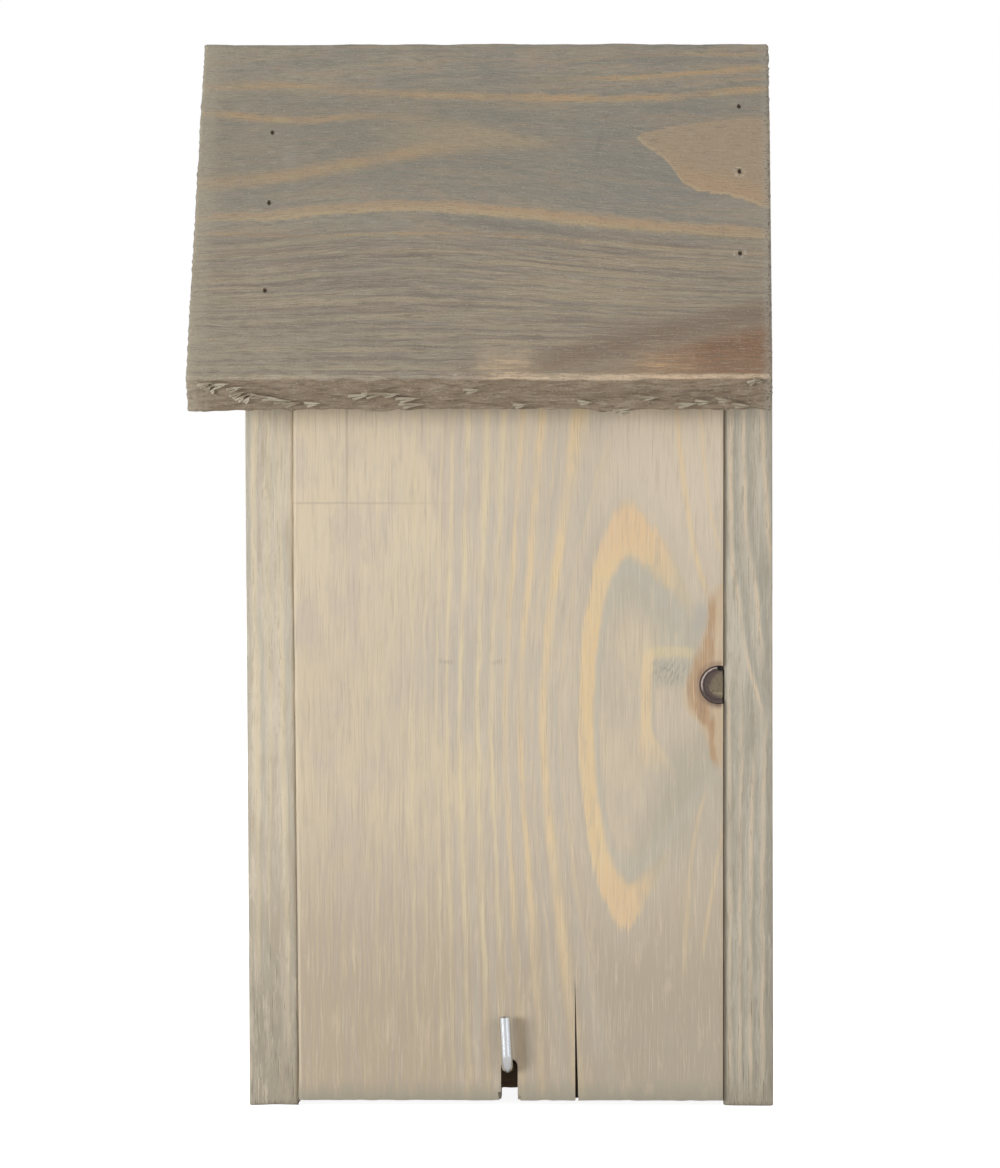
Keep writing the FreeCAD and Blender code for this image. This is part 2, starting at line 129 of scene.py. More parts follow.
def lay_face(name, middle, across, along, width, length, square=SQUARE):
    """Lays a flat grid with its normal on across x along, and leaves its place in the mesh."""
    pick_nothing()
    turn = Matrix((across, along, across.cross(along))).transposed().to_euler()
    bpy.ops.mesh.primitive_grid_add(
        x_subdivisions=round(width / square), y_subdivisions=round(length / square),
        size=1, location=middle, rotation=turn)
    face = bpy.context.object
    face.name = name
    face.scale = (width, length, 1)
    bpy.ops.object.transform_apply(location=True, rotation=True, scale=True)
    return face


def thicken(face, inward, layers=4):
    """Extrudes a flat face to a board, with a few layers of squares round its edge."""
    open_up(face)
    for _ in range(layers):
        bpy.ops.mesh.extrude_region_move(TRANSFORM_OT_translate={"value": inward / layers})
    bpy.ops.mesh.select_all(action="SELECT")
    bpy.ops.mesh.normals_make_consistent(inside=False)
    close_up()


def dull_arrises(board, radius):
    """Rounds every sharp edge of a board a little, as handling does."""
    pick(board)
    bpy.ops.object.mode_set(mode="EDIT")
    bpy.ops.mesh.select_mode(type="EDGE")
    bpy.ops.mesh.select_all(action="DESELECT")
    bpy.ops.mesh.edges_select_sharp(sharpness=SHARP_FROM)
    bpy.ops.mesh.bevel(offset=radius, segments=2, affect="EDGES")
    close_up()


print("board helpers ready, grid square", SQUARE / MM, "mm")

# %% [markdown]
# ## Saw marks and ragged edges
# The sawn outline wanders by a few tenths of a millimetre.  A Displace modifier does this: it pushes each
# point along its normal by a cloud texture.  An empty, stretched along the grain, carries the texture's
# coordinates, so the wander runs with the wood.  It is applied at once, and the empty goes.

# %% Helper: let the sawn surface wander


def wander(board, depth, grain, size=9 * MM, stretch=4.0, where=None):
    """Moves the surface in and out by about half of depth; where(co) gives each point's share, 0 to 1."""
    pick_nothing()
    bpy.ops.object.empty_add(location=(0, 0, 0))
    ruler = bpy.context.object
    ruler.scale = [size * (stretch if abs(part) > 0.5 else 1.0) for part in grain]
    bpy.context.view_layer.update()
    cloud = bpy.data.textures.new("saw_cloud", "CLOUDS")
    cloud.noise_scale = 1.0
    cloud.noise_depth = 2
    pick(board)
    push = board.modifiers.new("wander", "DISPLACE")
    push.texture = cloud
    push.texture_coords = "OBJECT"
    push.texture_coords_object = ruler
    push.strength = depth
    push.mid_level = 0.5
    if where:
        share = board.vertex_groups.new(name="share")
        for point in board.data.vertices:
            share.add([point.index], where(point.co), "REPLACE")
        push.vertex_group = share.name
    bpy.ops.object.modifier_apply(modifier=push.name)
    board.vertex_groups.clear()
    bpy.data.objects.remove(ruler)
    bpy.data.textures.remove(cloud)


print("wander helper ready")

# %% [markdown]
# ## Holes, notches and splits
# Everything that goes into a board is cut by tool bodies and a Boolean modifier: the tools are shaped at
# their place, joined, subtracted and thrown away.  Joining tools saves time, as long as they don't overlap
# each other.  The exact solver is slower than the fast one, but it leaves clean walls.

# %% Helpers: tool bodies and the cut
THROUGH = 60 * MM


def round_tool(middle, axis, radius, depth, sides=48):
    """A round cutter centred at middle, with its length along axis."""
    pick_nothing()
    turn = axis.to_track_quat("Z", "Y").to_euler()
    bpy.ops.mesh.primitive_cylinder_add(
        vertices=sides, radius=radius, depth=depth, location=middle, rotation=turn)
    bpy.ops.object.transform_apply(location=True, rotation=True, scale=True)
    return bpy.context.object


def square_tool(middle, size, turn=(0, 0, 0)):
    """A square cutter of the given size, turned about its middle."""
    pick_nothing()
    bpy.ops.mesh.primitive_cube_add(size=1, location=middle, rotation=turn)
    tool = bpy.context.object
    tool.scale = size
    bpy.ops.object.transform_apply(location=True, rotation=True, scale=True)
    return tool


def joined(pieces):
    """Joins pieces into the first of them."""
    pick_nothing()
    for piece in pieces:
        piece.select_set(True)
    bpy.context.view_layer.objects.active = pieces[0]
    if len(pieces) > 1:
        bpy.ops.object.join()
    return pieces[0]


def cut(board, *tools):
    """Takes the space of some tools, which keep clear of each other, out of a board."""
    cutter = joined(tools)
    pick(board)
    bite = board.modifiers.new("cut", "BOOLEAN")
    bite.operation = "DIFFERENCE"
    bite.solver = "EXACT"
    bite.object = cutter
    bpy.ops.object.modifier_apply(modifier=bite.name)
    bpy.data.objects.remove(cutter)


print("cutters reach", THROUGH / MM, "mm")

# %% [markdown]
# ## Setting a piece in place
# A finished piece rides on one body of the frame, so that it moves with its joint, and stands in for the
# frame's plain node.  Where two cuts meet, the solver can leave a pinhole of a few edges, so any hole is
# closed first.  Smoothing by angle keeps the arrises crisp and lets the sawn faces roll.

# %% Helper: close, smooth and seat a piece
HOLE_SIDES = 12
SMOOTH_TO = math.radians(32)


def ready(board, body, node):
    """Closes and smooths a finished piece, and sets it on its body in place of its frame node."""
    open_up(board)
    bpy.ops.mesh.fill_holes(sides=HOLE_SIDES)
    close_up()
    bpy.ops.object.shade_smooth_by_angle(angle=SMOOTH_TO)
    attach(board, body)
    if node:
        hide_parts(node)
    print(board.name, "made,", len(board.data.polygons), "faces")


# %% [markdown]
# ## Upright boards
# The door, the fixed side and the two gables stand upright with the grain along Z.  Each takes its corners
# from the frame, so it lies exactly where the measured board lies.  A gable has its two top corners bisected
# away while it is still a flat face.

# %% Helper: an upright board between a frame node's corners
ARRIS = 0.55 * MM
MERGE = 0.15 * MM


def corners(node):
    """Lowest and highest corner of a frame node, as vectors."""
    low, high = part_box(node)
    return Vector(low), Vector(high)


def upright_board(name, node, outward, gable=False):
    """A board with its good face looking outward and its grain along Z."""
    low, high = corners(node)
    size = high - low
    across = UP.cross(outward)
    thick = abs(size.dot(outward))
    middle = (low + high) / 2 + outward * thick / 2
    board = lay_face(name, middle, across, UP, abs(size.dot(across)), size.z)
    if gable:
        open_up(board)
        for side in (1, -1):
            bpy.ops.mesh.select_all(action="SELECT")
            bpy.ops.mesh.bisect(plane_co=(0, middle.y, high.z), plane_no=(side, 0, 1), clear_outer=True)
        bpy.ops.mesh.select_all(action="SELECT")
        bpy.ops.mesh.remove_doubles(threshold=MERGE)
        close_up()
    thicken(board, -outward * thick)
    return board


print("upright boards have arrises of", ARRIS / MM, "mm")

# %% [markdown]
# ## A joint that leans
# In the picture the front gable does not stand quite true: the joint between it and the door leans forward
# by more than a millimetre towards the top, and is nearly closed.  We keep the frame's boards as they are
# and let only the visible edges lean: every point near the joint is shifted along Y by a share of the lean.

# %% Helpers: the lean and the shift
LEAN = 1.4 * MM
LEAN_FROM, LEAN_TO = 15 * MM, 165 * MM
JOINT_STEP, BACK_STEP = 0.3 * MM, 0.6 * MM
CLOSE_FOOT, CLOSE_TOP, CLOSE_BACK = 0.3 * MM, 0.37 * MM, 0.32 * MM


def share_between(value, start, end):
    """0 at start, 1 at end and straight between them."""
    return min(1.0, max(0.0, (value - start) / (end - start)))


def joint_lean(z):
    """How far the joint of door and front gable has moved at a height."""
    return JOINT_STEP - LEAN * share_between(z, LEAN_FROM, LEAN_TO)


def shift(board, rule):
    """Moves each point of a board along Y by what rule gives for its place."""
    for point in board.data.vertices:
        point.co.y += rule(point.co)


print("the joint leans by", LEAN / MM, "mm")

# %% [markdown]
# ## The door
# The door is the pale board in the middle of the picture.  It hangs on two nails near its top and closes
# between the gables.  It could be a plain box, but its front edge has to follow the leaning joint, so the
# points near its two long edges are shifted.  Only its foot is left ragged from the saw, because its edges
# have to slide by.

# %% Helpers: where the door's edges go
EDGE_ZONE = 20 * MM
FOOT_ZONE = 0.2 * MM
door_low, door_high = corners("door_panel")
door_middle = (door_low + door_high) / 2


def door_edges(co):
    """The front edge follows the leaning joint, and both edges come close to the gables."""
    front = share_between(co.y, door_low.y + EDGE_ZONE, door_low.y)
    back = share_between(co.y, door_high.y - EDGE_ZONE, door_high.y)
    close = CLOSE_FOOT + (CLOSE_TOP - CLOSE_FOOT) * share_between(co.z, LEAN_FROM, LEAN_TO)
    return front * (joint_lean(co.z) - close) + back * (BACK_STEP + CLOSE_BACK)


def door_foot(co):
    """Only the foot of the door wanders, so that its edges stay clear of the gables."""
    return 1.0 if co.z < door_low.z + FOOT_ZONE else 0.0


print("door from", door_low, "to", door_high)

# %% [markdown]
# The board is laid, thickened and dulled before anything is shifted, so that its arrises are found while
# they are still straight.  The arris is small here, because the door's edges show as crisp lines beside the
# joints.

# %% Make the door's board
DOOR_ARRIS = 0.2 * MM
FOOT_RAGGED, FOOT_LUMP = 0.5 * MM, 3 * MM
door_board = upright_board("door_board", "door_panel", ALONG_X)
dull_arrises(door_board, DOOR_ARRIS)
shift(door_board, door_edges)
wander(door_board, FOOT_RAGGED, UP, size=FOOT_LUMP, where=door_foot)
print("door board has", len(door_board.data.vertices), "points")

# %% [markdown]
# A notch in the door's foot clears the hook.  It was sawn with a round end.  A round cutter and a square one
# would overlap, so the tool is one square bar whose two upper edges are bevelled until they nearly meet in a
# half round.

# %% Cut the notch for the hook
NOTCH_WIDTH = 5.0 * MM
NOTCH_RISE = 10.0 * MM
NOTCH_ROUND = NOTCH_WIDTH * 0.495
BAR_LENGTH, BAR_HEIGHT = 40 * MM, 20 * MM
notch_end = Vector((door_middle.x, door_middle.y, door_low.z + NOTCH_RISE))
notch_tool = square_tool(
    notch_end + UP * (NOTCH_WIDTH / 2 - BAR_HEIGHT / 2), (BAR_LENGTH, NOTCH_WIDTH, BAR_HEIGHT))


def upper_long_edge(edge):
    """True for the two edges of the bar that run through the door above the notch's end."""
    ends = [notch_tool.data.vertices[i].co for i in edge.vertices]
    return min(end.z for end in ends) > notch_end.z and abs(ends[0].x - ends[1].x) > NOTCH_WIDTH


choose(notch_tool, "EDGE", upper_long_edge)
bpy.ops.mesh.bevel(offset=NOTCH_ROUND, segments=8, affect="EDGES")
close_up()
cut(door_board, notch_tool)
print("notch", NOTCH_WIDTH / MM, "by", NOTCH_RISE / MM, "mm")

# %% [markdown]
# The saw tore the notch's lower corners, so they flare.  The split beside it is a thin wedge: a cube whose
# upper edge is pinched together and leans with the grain, and which reaches half way into the board.

# %% Flare the notch and split the door's foot
SPLIT_ACROSS = 82.7 * MM
SPLIT_RISE = 37 * MM
SPLIT_WIDTH = 0.95 * MM
SPLIT_DEPTH = 9 * MM
SPLIT_LEAN = 0.6 * MM
SPLIT_BELOW = 1 * MM
PINCH = 0.05
# Side of the notch, size of the cutter and its turn.
FLARES = (
    (-1, (9 * MM, 1.0 * MM, 5 * MM), math.radians(9)),
    (1, (6 * MM, 1.4 * MM, 3 * MM), math.radians(-24)))
flares = [
    square_tool((door_high.x, door_middle.y + side * NOTCH_WIDTH / 2, door_low.z), size, (turn, 0, 0))
    for side, size, turn in FLARES]
split_y = door_low.y + SPLIT_ACROSS
split_middle = (door_high.x, split_y, door_low.z + SPLIT_RISE / 2)
wedge = square_tool(split_middle, (2 * SPLIT_DEPTH, SPLIT_WIDTH, SPLIT_RISE))
for point in wedge.data.vertices:
    if point.co.z > door_low.z + SPLIT_RISE / 2:
        point.co.y = split_y - SPLIT_LEAN + (point.co.y - split_y) * PINCH
    else:
        point.co.z -= SPLIT_BELOW
cut(door_board, *flares, wedge)
print("split", SPLIT_RISE / MM, "mm up the door")

# %% [markdown]
# The knot was half cut away by the saw, has shrunk and stands loose in its socket.  The socket is a round
# cut across the door's edge, a little larger than the knot and with a pit above it.

# %% Knot socket and pivot holes in the door
KNOT_RADIUS = 5.65 * MM
KNOT_INSET, KNOT_HEIGHT = 0.45 * MM, 123.6 * MM
SOCKET_GAP = 0.1 * MM
SOCKET_DEPTH = 4 * MM
PIVOT_HOLE = 1.36 * MM
PIVOT_REACH = 24 * MM
knot_middle = Vector((door_high.x, door_high.y - KNOT_INSET, door_low.z + KNOT_HEIGHT))
pivot_low, pivot_high = corners("door_pivot_nail_front")
pivot_axis = (pivot_low + pivot_high) / 2
cut(
    door_board,
    round_tool(knot_middle, ALONG_X, KNOT_RADIUS + SOCKET_GAP, 2 * SOCKET_DEPTH),
    *[round_tool(Vector((pivot_axis.x, edge, pivot_axis.z)), ALONG_Y, PIVOT_HOLE, 2 * PIVOT_REACH, 24)
      for edge in (door_low.y, door_high.y)])
ready(door_board, "door", "door_panel")

# %% [markdown]
# ## The knot
# The knot itself is a short plug with a raised, glossy rim and a sunken, cracked middle.  It could be
# painted on, but its rim catches the light.  It starts as a cylinder whose face is inset and pushed in or
# out a few times, and the half beyond the door's edge is bisected away and filled.

# %% Turn the knot and step its face
KNOT_SUNK = 0.2 * MM
KNOT_PLAY = 0.2 * MM
# Each step of the face: inset and rise in millimetres.
KNOT_STEPS = ((0.5, 0.12), (0.9, -0.35), (1.4, -0.12), (1.4, 0.15))
knot_back = door_high.x - SOCKET_DEPTH
knot_face = door_high.x - KNOT_SUNK
pick_nothing()
bpy.ops.mesh.primitive_cylinder_add(
    vertices=72, radius=KNOT_RADIUS, depth=knot_face - knot_back,
    location=((knot_face + knot_back) / 2, knot_middle.y, knot_middle.z), rotation=(0, math.radians(90), 0))
door_knot = bpy.context.object
door_knot.name = "door_knot"
bpy.ops.object.transform_apply(location=True, rotation=True, scale=True)
choose(door_knot, "FACE", lambda side: side.normal.x > 0.9)
for inset, rise in KNOT_STEPS:
    bpy.ops.mesh.inset(thickness=inset * MM, depth=rise * MM)
bpy.ops.mesh.select_all(action="SELECT")
bpy.ops.mesh.bisect(
    plane_co=(0, door_high.y + BACK_STEP + CLOSE_BACK - KNOT_PLAY, 0), plane_no=(0, 1, 0),
    clear_outer=True, use_fill=True)
close_up()
print("knot turned,", 2 * KNOT_RADIUS / MM, "mm across")

# %% [markdown]
# A fine wander breaks the knot's roundness; it needs more points than the plain plug has, so the plug is cut
# into triangles and subdivided first.  A small round bite at its top right is the dark pit.

# %% Roughen the knot and bite its pit
KNOT_ROUGH, KNOT_LUMP = 0.22 * MM, 1.6 * MM
PIT_ASIDE, PIT_IN = 0.5 * MM, 0.5 * MM
KNOT_PIT, KNOT_PIT_DEPTH = 0.9 * MM, 2.6 * MM
open_up(door_knot)
bpy.ops.mesh.quads_convert_to_tris()
bpy.ops.mesh.subdivide(number_cuts=1)
bpy.ops.mesh.normals_make_consistent(inside=False)
close_up()
wander(door_knot, KNOT_ROUGH, ALONG_X, size=KNOT_LUMP, stretch=1.0)
pit_spot = knot_middle + Vector((0, PIT_ASIDE, KNOT_RADIUS - PIT_IN))
cut(door_knot, round_tool(pit_spot, ALONG_X, KNOT_PIT, KNOT_PIT_DEPTH, 11))
ready(door_knot, "door", None)

# %% [markdown]
# ## The gables
# Front and back are the same pentagon.  Their long edges are what the picture shows left and right of the
# door, so these edges wander a little, and the front's edge beside the door is worn rounder than the others.
# A bevel on that one edge gives the round; flattening its points makes it shallow, as years of a closing
# door do.

# %% Helpers: a worn edge and ragged edges of a gable
CLOSE_BY = 0.02 * MM
GABLE_EDGE = 74.6 * MM
GABLE_FOOT, UNDER_ROOF = 0.3 * MM, 222 * MM
front_low, front_high = corners("front_panel")
back_low, back_high = corners("back_panel")


def wear_edge(board, x, y, radius, flat):
    """Rounds the one upright edge of a board that stands at x and y; flat makes the round shallower."""

    def on_edge(edge):
        ends = [board.data.vertices[i].co for i in edge.vertices]
        return all(abs(end.x - x) < CLOSE_BY and abs(end.y - y) < CLOSE_BY for end in ends)

    choose(board, "EDGE", on_edge)
    bpy.ops.mesh.bevel(offset=radius, segments=4, affect="EDGES")
    close_up()
    for point in board.data.vertices:
        if x - point.co.x < radius + CLOSE_BY and y - point.co.y < radius + CLOSE_BY:
            point.co.x = x - (x - point.co.x) * flat


def gable_wander(co):
    """The free edges and the foot of a gable wander; what meets the roof, door and floor stays true."""
    on_edge = abs(co.x) > GABLE_EDGE and co.z < UNDER_ROOF
    return 1.0 if co.z < GABLE_FOOT else 0.55 if on_edge else 0.0


print("gables stand from", front_low.y / MM, "to", back_high.y / MM, "mm")

# %% [markdown]
# The leaning joint has two sides, and the front gable is the other one.  Its inner face follows the joint,
# its outer face leans a little less.  The back gable has a small step at its joint and stands out at the
# wall's foot.  Both leans die out towards the middle of the board, where the nails and the ways through it
# are.

# %% Helpers: the leaning edges of the gables
FACE_LEAN = 1.15 * MM
FACE_STEP = 0.7 * MM
WALL_LEAN = 0.45 * MM
INNER_ZONE = (26 * MM, 40 * MM)
OUTER_ZONE = (45 * MM, 72 * MM)
LEAN_FOOT, LEAN_HEAD = 10 * MM, 200 * MM


def front_lean(co):
    """Leans the front gable's edge: its inner face with the joint, its outer face a little less."""
    depth = share_between(co.y, front_low.y, front_high.y)
    inner = joint_lean(co.z) * share_between(co.x, *INNER_ZONE)
    face = FACE_STEP - FACE_LEAN * share_between(co.z, LEAN_FOOT, LEAN_HEAD)
    outer = face * share_between(co.x, *OUTER_ZONE)
    return inner * depth + outer * (1 - depth)


def back_lean(co):
    """Steps the back gable's inner face with its joint, and lets its foot stand out a little at the wall."""
    depth = share_between(co.y, back_high.y, back_low.y)
    inner = BACK_STEP * share_between(co.x, *INNER_ZONE)
    outer = WALL_LEAN * share_between(co.z, LEAN_HEAD, LEAN_FOOT) * share_between(co.x, *OUTER_ZONE)
    return inner * depth + outer * (1 - depth)


print("front face leans by", FACE_LEAN / MM, "mm, back by", WALL_LEAN / MM, "mm")

# %% [markdown]
# The front has the round way in.  Each gable also holds one of the door's two pivot nails, with its head let
# into the outer face.  The holes are cut last, so that they stay round while the edges wander.

# %% Make the front board
ENTRANCE_RADIUS = 16 * MM
ENTRANCE_HEIGHT = 182 * MM
PIVOT_HEAD, PIVOT_SINK = 2.56 * MM, 2.9 * MM
WORN_RADIUS, WORN_FLAT = 1.7 * MM, 0.35
GABLE_LUMP = 2.5 * MM
FRONT_RAGGED = 0.9 * MM


def sink_pivot_head(board, face):
    """Lets the pivot nail's head and shank into a gable."""
    at = Vector((pivot_axis.x, face, pivot_axis.z))
    cut(board, round_tool(at, ALONG_Y, PIVOT_HEAD, PIVOT_SINK, 32))
    cut(board, round_tool(at, ALONG_Y, PIVOT_HOLE, THROUGH, 24))


front_board = upright_board("front_board", "front_panel", -ALONG_Y, gable=True)
wear_edge(front_board, front_high.x, front_high.y, WORN_RADIUS, WORN_FLAT)
dull_arrises(front_board, ARRIS)
shift(front_board, front_lean)
wander(front_board, FRONT_RAGGED, UP, size=GABLE_LUMP, where=gable_wander)
sink_pivot_head(front_board, front_low.y)
entrance = Vector((0, front_low.y, ENTRANCE_HEIGHT))
cut(front_board, round_tool(entrance, ALONG_Y, ENTRANCE_RADIUS, THROUGH, 96))
print("front cut, way in", 2 * ENTRANCE_RADIUS / MM, "mm across")

# %% [markdown]
# The back has a keyhole, so that the box can be hung on a screw.  Its head hole and slot end are two round
# cutters that keep clear of each other; the straight slot between them overlaps both, so it is cut by itself
# afterwards.

# %% Make the back board
KEY_HEAD, KEY_SLOT, KEY_RISE, KEY_HEIGHT = 4.5 * MM, 2.3 * MM, 10 * MM, 255 * MM
BACK_RAGGED = 0.8 * MM
back_board = upright_board("back_board", "back_panel", ALONG_Y, gable=True)
dull_arrises(back_board, ARRIS)
shift(back_board, back_lean)
wander(back_board, BACK_RAGGED, UP, size=GABLE_LUMP, where=gable_wander)
sink_pivot_head(back_board, back_high.y)
key_foot = Vector((0, back_high.y, KEY_HEIGHT))
cut(
    back_board,
    round_tool(key_foot, ALONG_Y, KEY_HEAD, THROUGH),
    round_tool(key_foot + UP * KEY_RISE, ALONG_Y, KEY_SLOT, THROUGH))
cut(back_board, square_tool(key_foot + UP * KEY_RISE / 2, (2 * KEY_SLOT, THROUGH, KEY_RISE)))
print("back cut, keyhole at", KEY_HEIGHT / MM, "mm")

# %% [markdown]
# ## Brad pits
# The machine brads are driven a little below the surface.  Each leaves a small ragged pit with the dark head
# at its bottom.  The frame already holds the brads, so every pit is placed from the solids of the nail
# nodes: the points of a nail node that lie near the board's face fall into one group for each brad.

# %% Helpers: find the brad heads and pit them
PIT_LONG, PIT_SHORT = 1.12 * MM, 0.66 * MM
PIT_DEPTH = 0.68 * MM
PIT_RAGGED = 0.14
HEAD_LAYER = 0.7 * MM
BRAD_APART = 6 * MM


def brad_heads(node, outward, face):
    """The middle of each brad of a nail node, moved on to the board's face."""
    points = [v.co.copy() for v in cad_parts[node].data.vertices]
    tops = [p for p in points if (p - face).dot(outward) > -HEAD_LAYER]
    heads = []
    for top in tops:
        group = next((g for g in heads if (g[0] - top).length < BRAD_APART), None)
        if group is None:
            heads.append([top])
        else:
            group.append(top)
    spots = [sum(group, Vector()) / len(group) for group in heads]
    return [spot - outward * (spot - face).dot(outward) for spot in spots]


def brad_pits(node, outward, face, long_way):
    """A ragged cutter over each brad of a node."""
    tools = []
    for number, spot in enumerate(brad_heads(node, outward, face)):
        tool = round_tool(spot, outward, 1.0, 2 * PIT_DEPTH, 9)
        for point in tool.data.vertices:
            reach = point.co - spot
            deep = outward * reach.dot(outward)
            flat = reach - deep
            along = long_way * flat.dot(long_way)
            ragged = 1 + PIT_RAGGED * math.sin(5 * point.index + 2 * number)
            point.co = spot + deep + (along * PIT_LONG + (flat - along) * PIT_SHORT) * ragged
        tools.append(tool)
    return tools


print("brad pits are", 2 * PIT_LONG / MM, "by", 2 * PIT_SHORT / MM, "mm")

# %% [markdown]
# Each gable has two rows of brads: one into the fixed side and one into the floor.  Their pits are the last
# cut, and then the board is closed, smoothed and seated.

# %% Pit the gables and seat them
for board, panel, outward, face in (
        (front_board, "front", -ALONG_Y, front_low), (back_board, "back", ALONG_Y, back_high)):
    cut(board, *[tool for row in ("fixed_side_nails_", "floor_nails_")
                 for tool in brad_pits(row + panel, outward, face, ALONG_X)])
    ready(board, "box", panel + "_panel")

# %% [markdown]
# ## Fixed side
# The wall across from the door is a plain board with a row of brads along its foot, which hold the floor.
# It needs no shaping of its own: the same helpers lay, thicken, dull and pit it.

# %% Make the fixed side
fixed_low = corners("fixed_side_panel")[0]
fixed_side_board = upright_board("fixed_side_board", "fixed_side_panel", -ALONG_X)
dull_arrises(fixed_side_board, ARRIS)
cut(fixed_side_board, *brad_pits("floor_nails_side", -ALONG_X, fixed_low, UP))
ready(fixed_side_board, "box", "fixed_side_panel")

# %% [markdown]
# ## The floor
# The floor lies flat inside the walls, with its grain along Y.  Its edge by the door is what the notch lets
# us see: torn below, where the saw left it.  So the wander is limited to the lower points near that edge.
# It is drilled for four drains and for the hook's shank.

# %% Make the floor
FLOOR_ARRIS = 0.3 * MM
TORN_DEPTH, TORN_LUMP, TORN_ZONE = 1.6 * MM, 1.4 * MM, 4 * MM
floor_low, floor_high = corners("floor_board")
floor_size = floor_high - floor_low
floor_top = (floor_low + floor_high) / 2 + UP * floor_size.z / 2
floor_plank = lay_face("floor_plank", floor_top, ALONG_X, ALONG_Y, floor_size.x, floor_size.y)
thicken(floor_plank, -UP * floor_size.z)
dull_arrises(floor_plank, FLOOR_ARRIS)


def torn_floor_edge(co):
    """Only the lower points at the floor's edge by the door are torn."""
    if co.z >= floor_low.z + MM:
        return 0.0
    return share_between(co.x, floor_high.x - TORN_ZONE, floor_high.x)


wander(floor_plank, TORN_DEPTH, ALONG_X, size=TORN_LUMP, stretch=1.0, where=torn_floor_edge)
print("floor laid,", floor_size.x / MM, "by", floor_size.y / MM, "mm")

# %% [markdown]
# The drains let rain out that drives in through the entrance.  The pilot hole for the hook starts in the
# floor's edge and ends where the frame's hook ends.  All five cutters keep clear of each other, so one cut
# does.

# %% Drill the floor
DRAIN_RADIUS, DRAIN_ACROSS, DRAIN_ALONG, DRAIN_REACH = 3 * MM, 30 * MM, 32 * MM, 80 * MM
HOOK_PILOT = 1.75 * MM
HOOK_OFFSET = 0.5 * MM
hook_low = corners("latch_hook")[0]
hook_axis = Vector((floor_high.x, door_middle.y - HOOK_OFFSET, (floor_low.z + floor_high.z) / 2))
drain_spots = [
    Vector((side * DRAIN_ACROSS, floor_top.y + end * DRAIN_ALONG, floor_top.z))
    for side in (-1, 1) for end in (-1, 1)]
drains = [round_tool(spot, UP, DRAIN_RADIUS, DRAIN_REACH, 32) for spot in drain_spots]
pilot = round_tool(hook_axis, ALONG_X, HOOK_PILOT, 2 * (floor_high.x - hook_low.x), 24)
cut(floor_plank, pilot, *drains)
ready(floor_plank, "box", "floor_board")

# %% [markdown]
# ## The roof
# Two boards meet at the ridge, where the door side laps over the other.  They are laid on the slope, with
# the grain along the ridge.  They were sawn roughly: the ends are chewed, the ridge is nicked, and the lower
# edge is torn and wavy.  So the rim wanders twice, once in long waves and once in small tears.

# %% Helpers: where the roof is torn
RIM = 0.4 * MM
EAVE_ZONE = 2 * MM
FACE_SHARE, RIDGE_SHARE = 0.14, 0.35
roof_low, roof_high = corners("roof_board_door_side")
ridge_height = roof_high.z
slope_length = roof_high.x * math.sqrt(2)
roof_ends = (roof_low.y, roof_high.y)
roof_length = roof_ends[1] - roof_ends[0]
roof_middle_y = sum(roof_ends) / 2


def slope_distance(co):
    """How far down its slope a point of the roof lies."""
    return (abs(co.x) + ridge_height - co.z) * math.sqrt(0.5)


def roof_waves(co):
    """The lower edge of a plank waves, and its ridge a little."""
    down = slope_distance(co)
    return 1.0 if down > slope_length - RIM else RIDGE_SHARE if down < RIM else 0.0


def roof_tears(co):
    """The whole rim of a plank is torn; its faces are only rough."""
    at_end = min(abs(co.y - end) for end in roof_ends) < RIM
    at_eave = slope_distance(co) > slope_length - EAVE_ZONE
    return 1.0 if at_end or at_eave else FACE_SHARE


print("roof slopes are", round(slope_length / MM, 1), "mm long")

# %% [markdown]
# One function makes both planks, because they differ only in their side and in where they start: at the
# ridge, or one thickness below it, under the lap.  Ten layers in the thickness give the torn eave enough
# points.

# %% Make the two roof planks
ROOF_THICK = 14 * MM
ROOF_ARRIS = 0.6 * MM
ROOF_SQUARE = 1.2 * MM
ROOF_LAYERS = 10
ROOF_STRETCH = 2.5
WAVE_DEPTH, WAVE_LUMP = 2.4 * MM, 7 * MM
TEAR_DEPTH, TEAR_LUMP = 1.3 * MM, 1.5 * MM
ROOF_SIDES = {1: "door", -1: "fixed"}


def roof_plank(name, node, side, top_start):
    """A plank on one slope: side is 1 over the door and -1 over the fixed side."""
    slope = Vector((side, 0, -1)).normalized()
    outward = Vector((side, 0, 1)).normalized()
    ridge = Vector((0, roof_middle_y, ridge_height))
    width = slope_length - top_start
    middle = ridge + slope * (top_start + width / 2)
    plank = lay_face(name, middle, slope, ALONG_Y * side, width, roof_length, ROOF_SQUARE)
    thicken(plank, -outward * ROOF_THICK, layers=ROOF_LAYERS)
    dull_arrises(plank, ROOF_ARRIS)
    wander(plank, WAVE_DEPTH, ALONG_Y, size=WAVE_LUMP, stretch=ROOF_STRETCH, where=roof_waves)
    wander(plank, TEAR_DEPTH, ALONG_Y, size=TEAR_LUMP, stretch=ROOF_STRETCH, where=roof_tears)
    cut(plank, *[tool for row in ("front", "back")
                 for tool in brad_pits(f"roof_nails_{ROOF_SIDES[side]}_side_{row}", outward, ridge, slope)])
    ready(plank, "box", node)
    return plank


roof_door_plank = roof_plank("roof_plank_door_side", "roof_board_door_side", 1, 0.0)
roof_fixed_plank = roof_plank("roof_plank_fixed_side", "roof_board_fixed_side", -1, ROOF_THICK)

# %% [markdown]
# ## Torn fibres
# Where the saw left the eave, it pulled up pale fibres.  A hair system would do for a brush, but these are
# flat splinters, and few.  So one fibre is modelled as a pattern: a cube drawn out to a thin bar,
# subdivided, tapered to its tip and curled off the wood.

